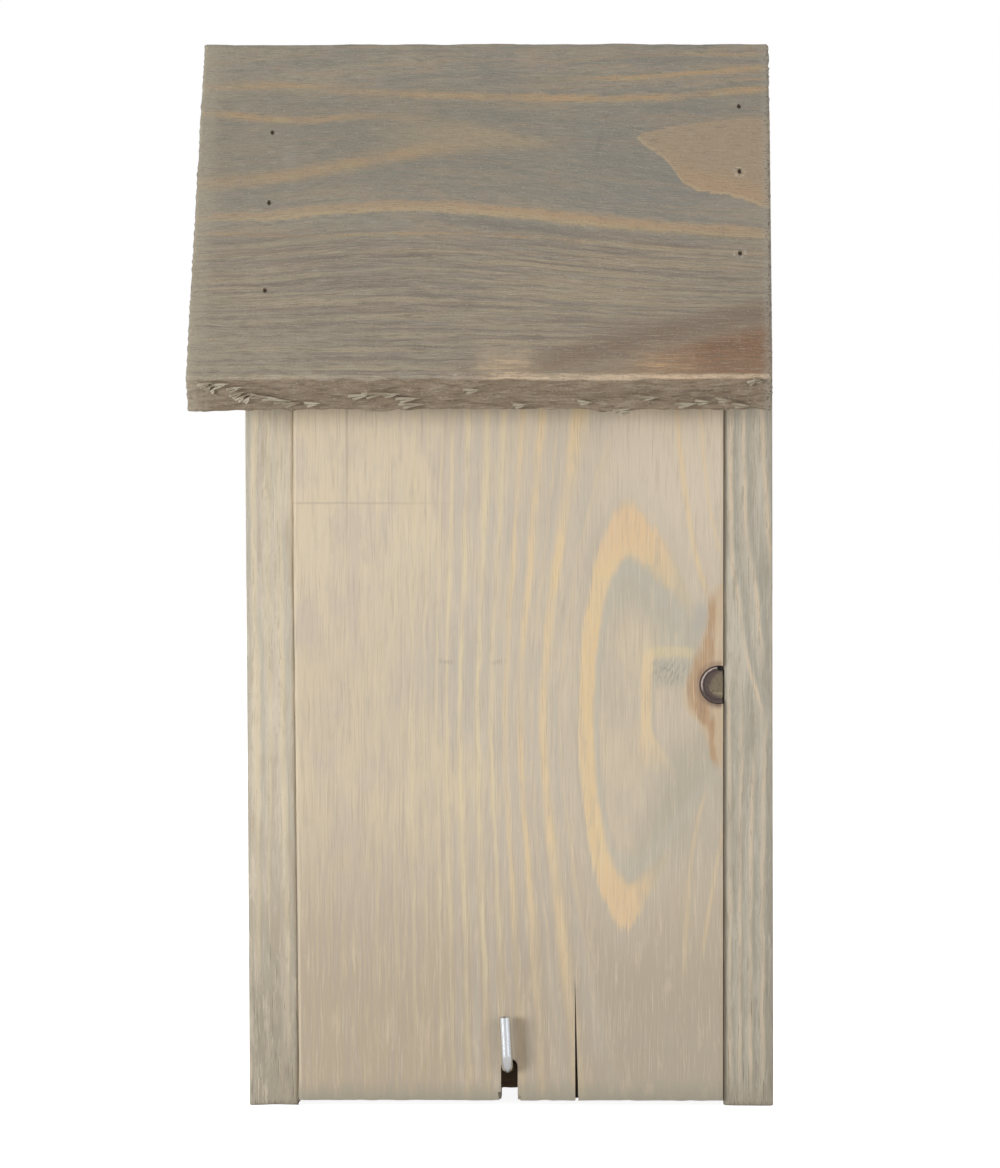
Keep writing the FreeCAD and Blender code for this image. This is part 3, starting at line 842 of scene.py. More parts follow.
# %% Make one torn fibre
FIBRE_LENGTH, FIBRE_WIDTH, FIBRE_THICK = 6 * MM, 0.8 * MM, 0.5 * MM
FIBRE_TAPER = 0.85
CURL_ASIDE, CURL_UP = 0.5 * MM, 0.7 * MM
pattern = square_tool((0, 0, 0), (FIBRE_LENGTH, FIBRE_WIDTH, FIBRE_THICK))
open_up(pattern)
bpy.ops.mesh.subdivide(number_cuts=3)
close_up()
for point in pattern.data.vertices:
    run = max(0.0, point.co.x / FIBRE_LENGTH + 0.5)
    thin = 1 - FIBRE_TAPER * run ** 1.5
    point.co.y = point.co.y * thin + CURL_ASIDE * run ** 2
    point.co.z = point.co.z * thin + CURL_UP * run ** 2
print("one fibre has", len(pattern.data.polygons), "faces")

# %% [markdown]
# The fibre is copied to each torn place, turned in the plane of the eave and stretched to its length.  Each
# place has two strands, the second shorter and twisted.  The places follow the picture: thick at the front
# end, sparse towards the back.  All copies are joined to one piece.

# %% Lay the fibres along the eave
FIBRE_LIFT = 0.7 * MM
# Each torn place has two strands: millimetres further down, degrees of twist, share of the length.
STRANDS = ((0.0, 0, 1.0), (0.9, 15, 0.65))
# Along the plank from its front end and down the sawn edge, in millimetres; tilt in degrees; stretch.
EAVE_FIBRES = (
    (5.5, 2.2, 12, 0.8), (6.6, 3.6, 28, 0.6), (8.0, 4.4, 40, 0.5), (10.0, 2.4, 8, 0.9),
    (14.0, 4.0, 14, 0.8), (15.0, 6.2, 20, 0.9), (16.2, 7.6, 30, 0.8), (18.0, 8.2, 38, 0.7),
    (20.5, 7.0, -14, 0.9), (24.0, 7.8, -10, 1.0), (27.5, 9.0, -4, 1.0), (30.5, 10.2, 4, 0.9),
    (36.8, 10.2, 0, 0.8), (51.0, 6.9, 6, 1.2), (55.5, 6.2, 4, 1.4), (60.0, 6.4, 2, 0.9),
    (65.0, 8.2, 2, 1.2), (66.0, 10.6, 0, 1.3), (84.0, 4.6, 0, 0.9), (98.0, 10.8, 3, 0.7),
    (117.0, 9.5, -8, 0.7), (128.0, 13.0, 12, 0.9), (129.5, 13.6, 4, 0.7), (136.0, 7.6, 0, 0.9),
    (147.0, 10.4, 2, 1.2), (152.0, 9.4, -6, 0.8), (158.0, 8.6, -16, 0.8), (163.0, 10.8, -10, 0.9),
    (166.5, 1.0, 22, 0.6), (168.0, 0.6, -30, 0.5))
eave_edge = Vector((roof_high.x, roof_low.y, ridge_height - roof_high.x))
eave_outward = Vector((1, 0, -1)).normalized()
eave_up = Vector((1, 0, 1)).normalized()


def lay_fibre(along, down, tilt, stretch):
    """Copies the pattern to a place on the eave."""
    fibre = pattern.copy()
    fibre.data = pattern.data.copy()
    bpy.context.collection.objects.link(fibre)
    lean = math.radians(tilt)
    lie = ALONG_Y * math.cos(lean) + eave_up * math.sin(lean)
    turn = Matrix((lie, eave_outward.cross(lie), eave_outward)).transposed().to_4x4()
    spot = eave_edge + ALONG_Y * along * MM - eave_up * down * MM + eave_outward * FIBRE_LIFT
    fibre.data.transform(Matrix.Translation(spot) @ turn @ Matrix.Diagonal((stretch, 1, 1, 1)))
    return fibre


eave_fibres = joined([
    lay_fibre(along, down + lower, tilt + twist, stretch * share)
    for along, down, tilt, stretch in EAVE_FIBRES for lower, twist, share in STRANDS])
bpy.data.objects.remove(pattern)
eave_fibres.name = "eave_fibres"
open_up(eave_fibres)
bpy.ops.mesh.normals_make_consistent(inside=False)
close_up()
ready(eave_fibres, "box", None)

# %% [markdown]
# ## Colours with arithmetic
# Every finish here is made of measures: numbers that change over a board, such as how far a point is from
# the ridge, or how strong a streak is there.  In Blender each sum is a Math node.  A small class lets us
# write the sums as sums, and a second one lays coats of colour over each other, weighted by a measure.

# %% Helper: measures
REACH_ALONG = 250.0


def feed(tree, socket, value):
    """Gives a node's input a fixed number or a measure."""
    if isinstance(value, Measure):
        tree.links.new(value.socket, socket)
    else:
        socket.default_value = value


class Measure:
    """A number that changes over a board and can be added, multiplied and shaped."""

    def __init__(self, tree, socket):
        self.tree = tree
        self.socket = socket

    def work(self, kind, *others):
        """One Math node on this measure and up to two others."""
        node = self.tree.nodes.new("ShaderNodeMath")
        node.operation = kind
        for socket, value in zip(node.inputs, (self, *others)):
            feed(self.tree, socket, value)
        return Measure(self.tree, node.outputs[0])

    def __add__(self, other):
        return self.work("ADD", other)

    def __sub__(self, other):
        return self.work("SUBTRACT", other)

    def __rsub__(self, other):
        return self.work("MULTIPLY_ADD", -1.0, other)

    def __mul__(self, other):
        return self.work("MULTIPLY", other)

    def __truediv__(self, other):
        return self.work("DIVIDE", other)

    def __pow__(self, other):
        return self.work("POWER", other)

    __radd__ = __add__
    __rmul__ = __mul__

    def size(self):
        """The measure without its sign."""
        return self.work("ABSOLUTE")

    def fade(self, start, end):
        """0 at start, 1 at end, and a smooth ramp between them."""
        node = self.tree.nodes.new("ShaderNodeMapRange")
        node.interpolation_type = "SMOOTHSTEP"
        feed(self.tree, node.inputs["Value"], self)
        feed(self.tree, node.inputs["From Min"], start)
        feed(self.tree, node.inputs["From Max"], end)
        return Measure(self.tree, node.outputs["Result"])

    def near(self, middle, width, core=0.2):
        """1 at the middle, 0 at a distance of width from it."""
        return (self - middle).size().fade(width, width * core)

    def along(self, path, reach=200.0):
        """Reads a drawn line, given as (place, offset) points, at this place."""
        node = self.tree.nodes.new("ShaderNodeFloatCurve")
        line = node.mapping.curves[0]
        node.mapping.extend = "HORIZONTAL"
        for number, (place, offset) in enumerate(path):
            spot = (place / REACH_ALONG, offset / reach)
            if number < 2:
                line.points[number].location = spot
            else:
                line.points.new(*spot)
        node.mapping.update()
        feed(self.tree, node.inputs["Value"], self / REACH_ALONG)
        return Measure(self.tree, node.outputs["Value"]) * reach


print("measures ready")

# %% [markdown]
# Screen colours are written as the familiar 0 to 255 numbers and turned into the linear numbers that light
# works with.  A Finish starts from one bare colour and gets coat upon coat, then a relief and a roughness.

# %% Helper: a finish built up in coats


def tint(red, green, blue):
    """A screen colour, 0 to 255, as linear light."""
    parts = [part / 255 for part in (red, green, blue)]
    return (*[((p + 0.055) / 1.055) ** 2.4 if p > 0.04045 else p / 12.92 for p in parts], 1.0)


class Finish:
    """A procedural material laid on coat by coat."""

    def __init__(self, name, bare, metal=0.0, specular=0.3):
        self.material = bpy.data.materials.new(name)
        self.material.use_nodes = True
        self.tree = self.material.node_tree
        self.shader = self.tree.nodes["Principled BSDF"]
        self.shader.inputs["Metallic"].default_value = metal
        self.shader.inputs["Specular IOR Level"].default_value = specular
        self.colour = tint(*bare)
        self.coats = 0

    def split(self, output):
        """The three parts of one of Texture Coordinate's outputs."""
        where = self.tree.nodes.new("ShaderNodeTexCoord")
        parts = self.tree.nodes.new("ShaderNodeSeparateXYZ")
        self.tree.links.new(where.outputs[output], parts.inputs[0])
        return [Measure(self.tree, part) for part in parts.outputs]

    def place(self):
        """Where each point is, in millimetres along X, Y and Z."""
        return [part * (1 / MM) for part in self.split("Object")]

    def cloud(self, x, y, z=0.0, detail=2.0, rough=0.5):
        """Smooth noise, 0 to 1 and 0.5 on average, with one lump to a unit of x, y and z."""
        spot = self.tree.nodes.new("ShaderNodeCombineXYZ")
        for socket, value in zip(spot.inputs, (x, y, z)):
            feed(self.tree, socket, value)
        noise = self.tree.nodes.new("ShaderNodeTexNoise")
        self.tree.links.new(spot.outputs[0], noise.inputs["Vector"])
        noise.inputs["Scale"].default_value = 1.0
        noise.inputs["Detail"].default_value = detail
        noise.inputs["Roughness"].default_value = rough
        return Measure(self.tree, noise.outputs["Fac"])

    def coat(self, colour, amount):
        """Lays a colour over what is there, as strongly as amount says."""
        node = self.tree.nodes.new("ShaderNodeMix")
        node.data_type = "RGBA"
        feed(self.tree, node.inputs[0], amount)
        if self.coats:
            self.tree.links.new(self.colour, node.inputs[6])
        else:
            node.inputs[6].default_value = self.colour
        node.inputs[7].default_value = tint(*colour)
        self.colour = node.outputs[2]
        self.coats += 1

    def done(self, relief, roughness):
        """Connects the coats, a relief in millimetres and a roughness to the shader."""
        self.tree.links.new(self.colour, self.shader.inputs["Base Color"])
        bump = self.tree.nodes.new("ShaderNodeBump")
        bump.inputs["Strength"].default_value = 1.0
        bump.inputs["Distance"].default_value = MM
        feed(self.tree, bump.inputs["Height"], relief)
        self.tree.links.new(bump.outputs["Normal"], self.shader.inputs["Normal"])
        feed(self.tree, self.shader.inputs["Roughness"], roughness)
        print("finish", self.material.name, "with", self.coats, "coats")
        return self.material


def dress(piece, material):
    """Gives a piece its one material."""
    piece.data.materials.clear()
    piece.data.materials.append(material)


print("finishes ready")

# %% [markdown]
# ## Grain for every board
# Pine is bundles of fibres: short fine lines along the grain, broader early and late wood, and a wash that
# took unevenly.  The same clouds serve each board, stretched along its grain.  Board ends show end grain,
# which drinks more wash and goes darker; the surface normal tells us where that is.

# %% Helper: fibres, wash and end grain


def fibres(finish, grain, across, deep, length=16.0):
    """Fine lines, broad lines and the patchy wash, each about 0 to 1."""
    fine = finish.cloud(grain / length, across / 0.45, deep / 0.45, detail=3.0, rough=0.6)
    broad = finish.cloud(grain / 60.0, across / 2.2, deep / 2.2, detail=2.0)
    patch = finish.cloud(grain / 26.0, across / 12.0, deep / 12.0, detail=4.0, rough=0.6)
    return fine, broad, patch


def end_grain(finish, axis):
    """1 where a face is cut across the grain; axis is 0, 1 or 2 for X, Y or Z."""
    return finish.split("Normal")[axis].size().fade(0.55, 0.8)


print("grain helpers ready")

# %% [markdown]
# ## The door's finish
# The door carries the picture's best figure.  On its left the grain is straight and pale; then come thin
# yellow streaks that bow away from a tall pointed loop, and inside that loop a smaller one opens to the
# knot.  We give the figure as a few sizes: where each streak crosses the knot's height, how wide it is, and
# each loop's reach.  A photograph on the face would be quicker, but it would hold its own light and fit only
# one face.

# %% The door's streaks
# Streaks and cool bands: across from the door's front edge at the loop's height, half width, strength.
DOOR_STREAKS = (
    (72.6, 1.7, 0.95), (65.8, 1.2, 0.85), (61.4, 0.9, 0.65), (57.2, 0.8, 0.7), (53.1, 1.0, 0.8),
    (48.0, 0.9, 0.85), (43.9, 0.7, 0.8), (40.9, 0.6, 0.5), (37.2, 0.5, 0.4), (33.5, 0.8, 0.5),
    (28.4, 0.5, 0.3), (23.0, 0.6, 0.3), (77.4, 0.6, 0.3), (69.2, 0.5, 0.35))
DOOR_COOL_BANDS = (
    (46.0, 1.3, 0.55), (50.6, 1.6, 0.7), (55.2, 1.5, 0.65), (59.4, 1.4, 0.6), (63.6, 1.2, 0.5),
    (69.4, 2.4, 0.65), (76.4, 2.6, 0.55))
BOW_ROUND, BOW_ABOVE, BOW_BELOW = 25.0, 0.155, 0.125
BOW_ACROSS, BOW_FADE = 72.6, 22.2
LOOP_ACROSS, LOOP_HEIGHT = 98.4, 114.0
print("the door has", len(DOOR_STREAKS), "streaks and", len(DOOR_COOL_BANDS), "cool bands")

# %% [markdown]
# The lines round the knot don't follow a rule, so each is drawn by a few points, like a pencil line on the
# wood.  A Float Curve node reads such a line: it gives the line's place across the door for each height.

# %% The lines round the knot
# Lines that run to the knot: (height, across) points, half width, strength.
KNOT_LINES = (
    (((148, 122.4), (161, 118.2), (172, 116.2), (187, 113.9), (206, 112.4)), 1.3, 0.7),
    (((160, 126.0), (175, 122.3), (190, 120.4), (206, 119.4)), 0.9, 0.5),
    (((42, 119.7), (50, 121.0), (62, 122.8), (80, 126.0)), 1.0, 0.45),
    (((36, 114.6), (66, 116.2), (82, 118.4), (92, 121.0)), 1.0, 0.4))
# The warm wood at the knot begins at this line: (height, across).
FLAME_EDGE = (
    (98, 126.5), (101.5, 123.6), (106.6, 121.4), (112, 119.4), (116, 115.6), (120.5, 114.6),
    (125, 115.8), (129.6, 117.4), (133.3, 118.6), (138.6, 120.0), (144, 121.6), (148.3, 122.6),
    (151.5, 123.9), (155, 126.5))
# The darkest streak in that wood, in the same way.
FLAME_CORE = (
    (99, 124.0), (104, 123.0), (111, 122.0), (118, 119.0), (129, 119.6), (136, 121.4),
    (143, 122.2), (152, 122.8))
# The small loop beside the knot: its upright bar as (height, across), its top bar as (across, height).
BIGHT_BAR = ((97, 109.0), (100, 106.6), (104, 104.7), (109, 103.5), (117, 103.2), (126, 103.3), (133, 104.0))
BIGHT_TOP = ((98, 132.6), (106, 133.3), (112, 133.6), (118, 132.6), (122, 131.4))


print(len(KNOT_LINES), "lines run to the knot")

# %% [markdown]
# Now the measures that all of the door's coats share: places on the door in millimetres, clouds stretched
# along the grain, and `bowed`, the place across as it would be if the streaks ran straight.  The bow is a
# hyperbola, which is round near the loop and straight far from it, and it dies out away from the loop.

# %% Measures on the door


def door_measures():
    """The door's bare finish and every measure that its coats share."""
    finish = Finish("door_washed_pine", (207, 191, 167))
    x, y, z = finish.place()
    across = y - door_low.y / MM
    height = z - door_low.z / MM
    rise = height - LOOP_HEIGHT
    upper = rise.fade(-20, 20)
    sway = (finish.cloud(height / 15.0, across / 5.0, detail=3.0) - 0.5) * 1.6
    steep = upper * (BOW_ABOVE - BOW_BELOW) + BOW_BELOW
    bow = ((rise ** 2 + BOW_ROUND ** 2) ** 0.5 - BOW_ROUND) * steep
    spread = ((across - bow - BOW_ACROSS) / BOW_FADE).work("MINIMUM", 0.6).work("EXPONENT")
    bowed = across + sway - bow * spread
    fine, broad, patch = fibres(finish, height, across + sway, x)
    return SimpleNamespace(
        finish=finish, across=across, height=height, rise=rise, upper=upper, sway=sway, bowed=bowed,
        fine=fine, broad=broad, patch=patch,
        comb=finish.cloud(height / 32.0, bowed / 0.9, x / 4.0, detail=3.0, rough=0.6),
        mottle=finish.cloud(height / 13.0, across / 3.2, x / 4.0, detail=4.0, rough=0.6),
        beside_loop=(across - bow).fade(88, 78))


door = door_measures()
print("door measures ready")

# %% [markdown]
# The wash lies unevenly: lightest high on the left, greyer in a haze at the middle, and dirtied towards the
# foot.  Below, a comb of fine light and dark lines shows where the plane ran with the grain.  Just under the
# eave a band of painted light thins the eave's shadow.

# %% Door: the wash


def coat_door_wash(door):
    """Patchy wash, painted light under the eave, then the darker foot with its comb of fine lines."""
    coat, across, height = door.finish.coat, door.across, door.height
    coat((217, 201, 176), height.fade(120, 172) * across.fade(100, 30) * 0.85)
    coat((195, 183, 168), door.patch.fade(0.46, 0.62) * 0.6)
    coat((214, 198, 168), door.patch.fade(0.5, 0.34) * 0.55)
    haze = height.near(135, 42, 0.1) * across.near(48, 34, 0.1)
    coat((195, 184, 168), haze * 0.6)
    coat((201, 188, 168), across.fade(45, 70) * 0.6)
    # Lighter high on the right; right under the eave a band of painted light thins the eave's shadow.
    coat((216, 202, 182), height.fade(150, 182) * across.fade(80, 104) * 0.5)
    coat((222, 207, 182), height.fade(194, 206) * 0.45)
    # Darker towards the foot, coolest on the right.
    coat((182, 167, 145), height.fade(96, 26) * 0.92)
    coat((178, 167, 149), height.fade(80, 12) * across.fade(50, 100) * 0.85)
    low = (height.fade(110, 40) * 0.5 + 0.25) * door.beside_loop
    coat((181, 167, 152), door.comb.fade(0.5, 0.64) * low)
    coat((203, 184, 157), door.comb.fade(0.48, 0.34) * door.mottle.fade(0.36, 0.6) * low * 0.9)


coat_door_wash(door)
print("wash laid,", door.finish.coats, "coats so far")

# %% [markdown]
# Late wood took less wash and stands as thin yellow streaks, with cooler early wood between them.  Each
# streak is a soft line in the bowed measure, made uneven by a cloud of its own.  They fade at the foot,
# where the dirt is.

# %% Door: the bowed streaks
YELLOW_FROM = 60.0


def coat_door_streaks(door):
    """Cool bands first, then the streaks over them."""
    for place, width, strength in DOOR_COOL_BANDS:
        band = door.bowed.near(place, width, 0.1) * door.beside_loop * door.patch.fade(0.3, 0.55)
        door.finish.coat((190, 181, 168), band * strength * 0.75)
    quiet = 1.0 - door.height.fade(70, 18) * 0.6
    frayed = door.bowed + (door.fine - 0.5) * 1.2
    for number, (place, width, strength) in enumerate(DOOR_STREAKS):
        lumps = door.finish.cloud(door.height / 28.0, 7.0 * number, detail=3.0)
        uneven = lumps.fade(0.32, 0.58) * 0.75 + 0.25
        pale = (220, 204, 168) if place < YELLOW_FROM else (222, 198, 158)
        streak = frayed.near(place, width, 0.25) * door.beside_loop * uneven * quiet * strength
        door.finish.coat(pale, streak)


coat_door_streaks(door)
print("streaks laid,", door.finish.coats, "coats so far")

# %% [markdown]
# The tall pointed loop is one growth ring cut lengthwise.  It is an oval whose right half is drawn out to a
# point, so each side of the oval has its own reach and power.  An outer and an inner oval will bound the
# yellow band.

# %% Helper: a lopsided oval


def oval(aside, above, halves, rise, powers):
    """How far out a point lies, 1 on the oval; its left and right halves have their own reach and power."""
    right = aside.work("GREATER_THAN", 0.0)
    reach = right * (halves[1] - halves[0]) + halves[0]
    power = right * (powers[1] - powers[0]) + powers[0]
    total = (aside.size() / reach) ** power + (above.size() / rise) ** power
    return total ** power ** -1.0


print("oval helper ready")

# %% [markdown]
# With that oval the loop is laid in a few coats: a cool halo, the plain inside, its cool parts, and the
# yellow band, whose two arms fade out before they reach the knot.

# %% Door: the tall loop


def coat_door_loop(door):
    """The cool wood inside the loop, then the yellow band that bounds it."""
    coat, across, height, upper = door.finish.coat, door.across, door.height, door.upper
    aside = across - LOOP_ACROSS + door.sway * 0.5
    feather = (door.fine - 0.5) * 0.16 + (door.mottle - 0.5) * 0.1
    outer = oval(aside, door.rise, (15.2, 33.5 - upper * 6.5), 62.9, (2.0, 1.02 + upper * 0.4)) + feather
    inner = oval(aside - 0.4, door.rise + 0.7, (11.2, 38.0), 49.4, (2.0, 1.15)) + feather
    within = outer.fade(1.03, 0.96)
    coat((194, 183, 167), outer.fade(1.25, 1.04) * 0.4)
    coat((205, 189, 165), within)
    coat((190, 181, 165), within * door.patch.fade(0.4, 0.6) * 0.6)
    coat((185, 178, 161), within * upper * inner.fade(0.5, 0.85) * across.fade(90, 96) * 0.95)
    # The cool wedge below the knot, and the greyer wood right of it.
    below_knot = (across - 109.5 - (height - 98.0) * 0.42).fade(-5.0, 4.0)
    coat((181, 172, 153), within * height.fade(117, 105) * below_knot * 0.85)
    coat((180, 171, 154), across.fade(105, 114) * height.fade(60, 76) * height.fade(108, 92) * 0.6)
    coat((188, 181, 166), within * inner.near(0.91, 0.12) * 0.65)
    # The yellow band, whose two arms fade towards the knot.
    arms = 1.0 - across.fade(97.0 + upper * 6.0, 108.0 + upper * 12.0) * 0.85
    band = within * inner.fade(0.95, 1.05) * arms
    coat((222, 196, 154), band * (0.7 + door.mottle.fade(0.35, 0.6) * 0.3))
    coat((221, 191, 154), band * door.rise.size().fade(42, 54) * 0.8)
    coat((190, 178, 160), outer.near(1.05, 0.06) * across.fade(96, 88) * 0.5)


coat_door_loop(door)
print("loop laid,", door.finish.coats, "coats so far")

# %% [markdown]
# Beside the knot a smaller loop opens to the right: an upright yellow bar, a paler bar along its top, and
# between them cool wood with short slanting tool marks.

# %% Door: the small loop beside the knot


def coat_door_bight(door):
    """The small loop's inside, its two bars and the tool marks in it."""
    coat, across, height = door.finish.coat, door.across, door.height
    bar = across + door.sway * 0.4 + (door.fine - 0.5) * 0.9 - height.along(BIGHT_BAR)
    bar_ends = height.fade(96, 104) * height.fade(135.5, 132)
    top = height + door.sway * 0.5 + (door.mottle - 0.5) * 2.0 - across.along(BIGHT_TOP)
    inside = bar.fade(1.2, 2.4) * across.fade(119, 113)
    coat((179, 174, 159), inside * height.fade(120, 126) * height.fade(132, 130) * 0.7)
    coat((203, 188, 168), inside * height.fade(104, 110) * height.fade(124, 119) * 0.5)
    coat((207, 193, 154), top.near(0.0, 2.4, 0.3) * across.fade(101, 104) * across.fade(120, 115) * 0.75)
    coat((183, 175, 158), bar.near(2.3, 0.9) * height.fade(106, 112) * height.fade(132, 129) * 0.6)
    wide = height.fade(112, 100) * 1.8 + 1.0
    coat((220, 197, 160), (bar / wide).near(0.0, 2.0, 0.5) * bar_ends * (1.15 - wide * 0.25))
    hatch = door.finish.cloud((height + across * 0.6) / 3.0, (across - height * 0.35) / 0.7, detail=2.0)
    hatched = across.near(110.5, 8.0) * height.near(127.5, 6.0) * hatch.fade(0.5, 0.6)
    coat((152, 149, 138), hatched * 0.8)


coat_door_bight(door)
print("small loop laid,", door.finish.coats, "coats so far")

# %% [markdown]
# Resin has bled from the knot into the wood around it.  Yellow lines run to the knot, and a warm brown flame
# licks up and down from it along the door's edge.  The flame is a drawn line with a fuzzy width, so it frays
# as resin does.

# %% Door: the wood round the knot
KNOT_ACROSS = 124.75


def coat_door_resin(door):
    """Lines that run to the knot, the flame, a dark ring close to the knot and a painted highlight on the
    right arris.
    """
    coat, across, height = door.finish.coat, door.across, door.height
    fray = door.fine - 0.5
    crumble = door.mottle - 0.5
    for path, width, strength in KNOT_LINES:
        first, last = path[0][0], path[-1][0]
        ends = height.fade(first - 2, first + 8) * height.fade(last + 6, last - 6)
        line = (across + door.sway * 0.5 + fray * 1.2 - height.along(path)).near(0.0, width, 0.1)
        coat((222, 197, 156), line * ends * strength)
    lick = across + door.sway * 0.4 + fray * 1.6 - height.along(FLAME_EDGE)
    coat((200, 175, 143), lick.fade(-1.4, 1.2) * 0.75)
    coat((176, 172, 162), across.near(119.6, 3.4) * height.near(143.4, 7.0) * 0.7)
    # The flame is widest beside the knot.
    flame = across + door.sway + fray * 3.0 + crumble * 4.0 - height.along(FLAME_CORE)
    flame_width = 1.3 + height.near(124.0, 18.0, 0.3) * 2.6
    deep_flame = flame.near(0.0, flame_width, 0.3) * height.fade(153, 146) * height.fade(97, 103)
    charred = (door.broad + door.mottle).fade(0.88, 1.1) * height.near(124.0, 17.0, 0.3)
    coat((180, 147, 113), deep_flame * 0.85)
    coat((153, 123, 97), deep_flame * charred * 0.85)
    ring = ((across - KNOT_ACROSS) ** 2 + (height - KNOT_HEIGHT / MM) ** 2) ** 0.5
    coat((150, 124, 104), (ring + crumble * 1.6).near(5.8, 2.0) * 0.75)
    coat((112, 88, 72), ring.near(5.9, 0.9) * across.fade(119.5, 122.5) * height.fade(121.0, 118.5) * 0.7)
    # Painted highlight: a pale line along the door's right arris beside the knot.
    coat((209, 191, 163), across.fade(125.3, 125.8) * height.near(123.0, 34.0) * 0.5)


coat_door_resin(door)
print("resin laid,", door.finish.coats, "coats so far")

# %% [markdown]
# Last come the marks of use: two thin scratches high on the left, two faint dents and the grey, damp foot.  A
# pale line along the door's arris at the front joint is a painted highlight.  The fine fibres go over
# everything, because the wash sank in between them.

# %% Door: marks, worn edges and fibres


def coat_door_wear(door):
    """Scratches, dents, a painted highlight on the front arris, the fibres and the damp foot."""
    coat, across, height, fine = door.finish.coat, door.across, door.height, door.fine
    coat((180, 164, 143), (across + door.sway * 0.3).near(14.4, 0.6) * height.fade(150, 180) * 0.6)
    coat((182, 167, 146), (height + door.sway * 0.3).near(177.5, 0.5) * across.fade(52, 18) * 0.55)
    dents = across.near(43.8, 3.2) + across.near(59.4, 3.4)
    coat((166, 154, 138), (height + door.sway * 2.0).near(130.4, 1.0) * dents * fine.fade(0.4, 0.56) * 0.7)
    # Painted highlight: a pale line along the front arris, which follows the leaning joint.
    climb = (height + (door_low.z - LEAN_FROM) / MM) / ((LEAN_TO - LEAN_FROM) / MM)
    lean_share = climb.work("MAXIMUM", 0.0).work("MINIMUM", 1.0)
    front_edge = lean_share * ((CLOSE_FOOT - CLOSE_TOP - LEAN) / MM)
    coat((219, 205, 178), (across - front_edge).near(0.5, 0.4) * 0.6)
    coat((216, 200, 174), door.mottle.fade(0.54, 0.7) * 0.3)
    coat((186, 172, 155), door.mottle.fade(0.46, 0.3) * 0.35)
    coat((182, 167, 148), fine.fade(0.53, 0.68) * 0.5)
    coat((220, 205, 180), fine.fade(0.47, 0.32) * 0.36)
    coat((162, 156, 140), (height + door.mottle * 6.0 + (fine - 0.5) * 12.0).fade(10.0, 3.0) * 0.8)
    coat((150, 134, 114), end_grain(door.finish, 2) * 0.55)


coat_door_wear(door)
dress(door_board, door.finish.done(door.fine * 0.08 + door.broad * 0.05, 0.66 + door.fine * 0.22))

# %% [markdown]
# ## The roof's finish
# The roof took a darker, greyer stain, and its surface is fuzzy.  Its figure runs along the ridge: brown
# streaks, a brown tongue that points left from the back end, a brown eye in the middle and a reddish corner
# at the eave.  Each streak is a line drawn by a few points: places along the plank from its front end, and
# distances down from the ridge.  A fuzz is added to every distance, so that no shape has a clean edge.

# %% Roof streaks and shapes
# Points, half width, (along where it begins, along where it is full), strength.
ROOF_STREAKS = (
    (((0, 19.4), (17, 19.0), (30, 18.8), (50, 19.4)), 2.2, (46, 26), 0.8),
    (((0, 21.0), (17, 21.9), (54, 21.9), (76, 23.2), (103, 24.1), (128, 24.5), (151, 22.8), (172, 20.0)),
     2.6, (10, 90), 1.0),
    (((80, 17.4), (100, 16.6), (115, 16.1), (129, 15.2), (150, 13.0), (172, 10.6)), 2.0, (92, 136), 1.0),
    (((120, 20.0), (151, 18.0), (172, 15.4)), 1.0, (136, 160), 0.6),
    (((60, 9.4), (100, 9.0), (130, 6.0), (172, 4.4)), 1.2, (84, 130), 0.5),
    (((0, 31.0), (12, 32.1), (22, 33.4), (33, 34.3), (50, 32.1), (66, 33.8)), 2.4, (80, 40), 0.9),
    (((0, 61.6), (13, 60.6), (27, 58.4), (40, 54.9), (55, 51.0), (70, 47.1)), 4.6, (90, 60), 0.75),
    (((0, 83.4), (31, 84.4), (62, 83.5), (86, 83.1)), 1.0, (110, 70), 0.9),
    (((80, 83.6), (95, 84.4), (113, 86.5), (139, 89.1), (165, 91.7), (172, 92.4)), 1.2, (80, 100), 0.85),
    (((0, 90.0), (40, 91.5), (80, 90.8), (110, 92.4), (172, 97.5)), 1.1, (-30, 60), 0.6),
    (((60, 96.8), (80, 96.4), (115, 96.0), (151, 98.2)), 1.2, (58, 100), 0.75),
    (((70, 104.0), (110, 103.6), (140, 105.0)), 1.2, (66, 96), 0.6))
# The broad streak across the whole plank, and the edges of the single shapes.
BROAD_STREAK = (
    (0, 76.8), (13, 75.8), (25, 74.9), (40, 72.8), (55, 71.5), (70, 71.5), (85, 72.8), (100, 74.5),
    (115, 77.1), (135, 80.1), (151, 81.8), (172, 83.6))
TONGUE_UPPER = ((132, 41.4), (134, 39.8), (138, 38.2), (151, 35.2), (172, 32.8))
TONGUE_LOWER = (
    (132, 42.2), (135, 45.6), (139, 49.7), (142, 53.6), (144, 57.6), (146, 61.5), (151, 65.0),
    (160, 67.1), (172, 73.2))
EYE_UPPER = ((40, 34.6), (66, 35.2), (82, 35.6), (94, 38.7), (108, 45.4))
EYE_LOWER = ((40, 53.0), (55, 51.0), (70, 49.3), (83, 47.6), (97, 47.1), (108, 45.6))
LENS_LINE = ((60, 75.6), (71, 76.8), (97, 81.0), (125, 84.6))
BRUISE_LINE = ((90, 141.0), (110, 136.0), (140, 126.0), (172, 116.0))


print("the roof has", len(ROOF_STREAKS), "streaks")

# %% [markdown]
# Both planks get the same coats: the far one is taken as the next cut of the same tree, turned end for end.
# The measures are the distance along the plank, the distance down the slope and the depth into the board.
# `flow` bends the distance down so that the grain runs with the broad streak.

# %% Measures on a roof plank
STREAK_LEVEL = 77.0


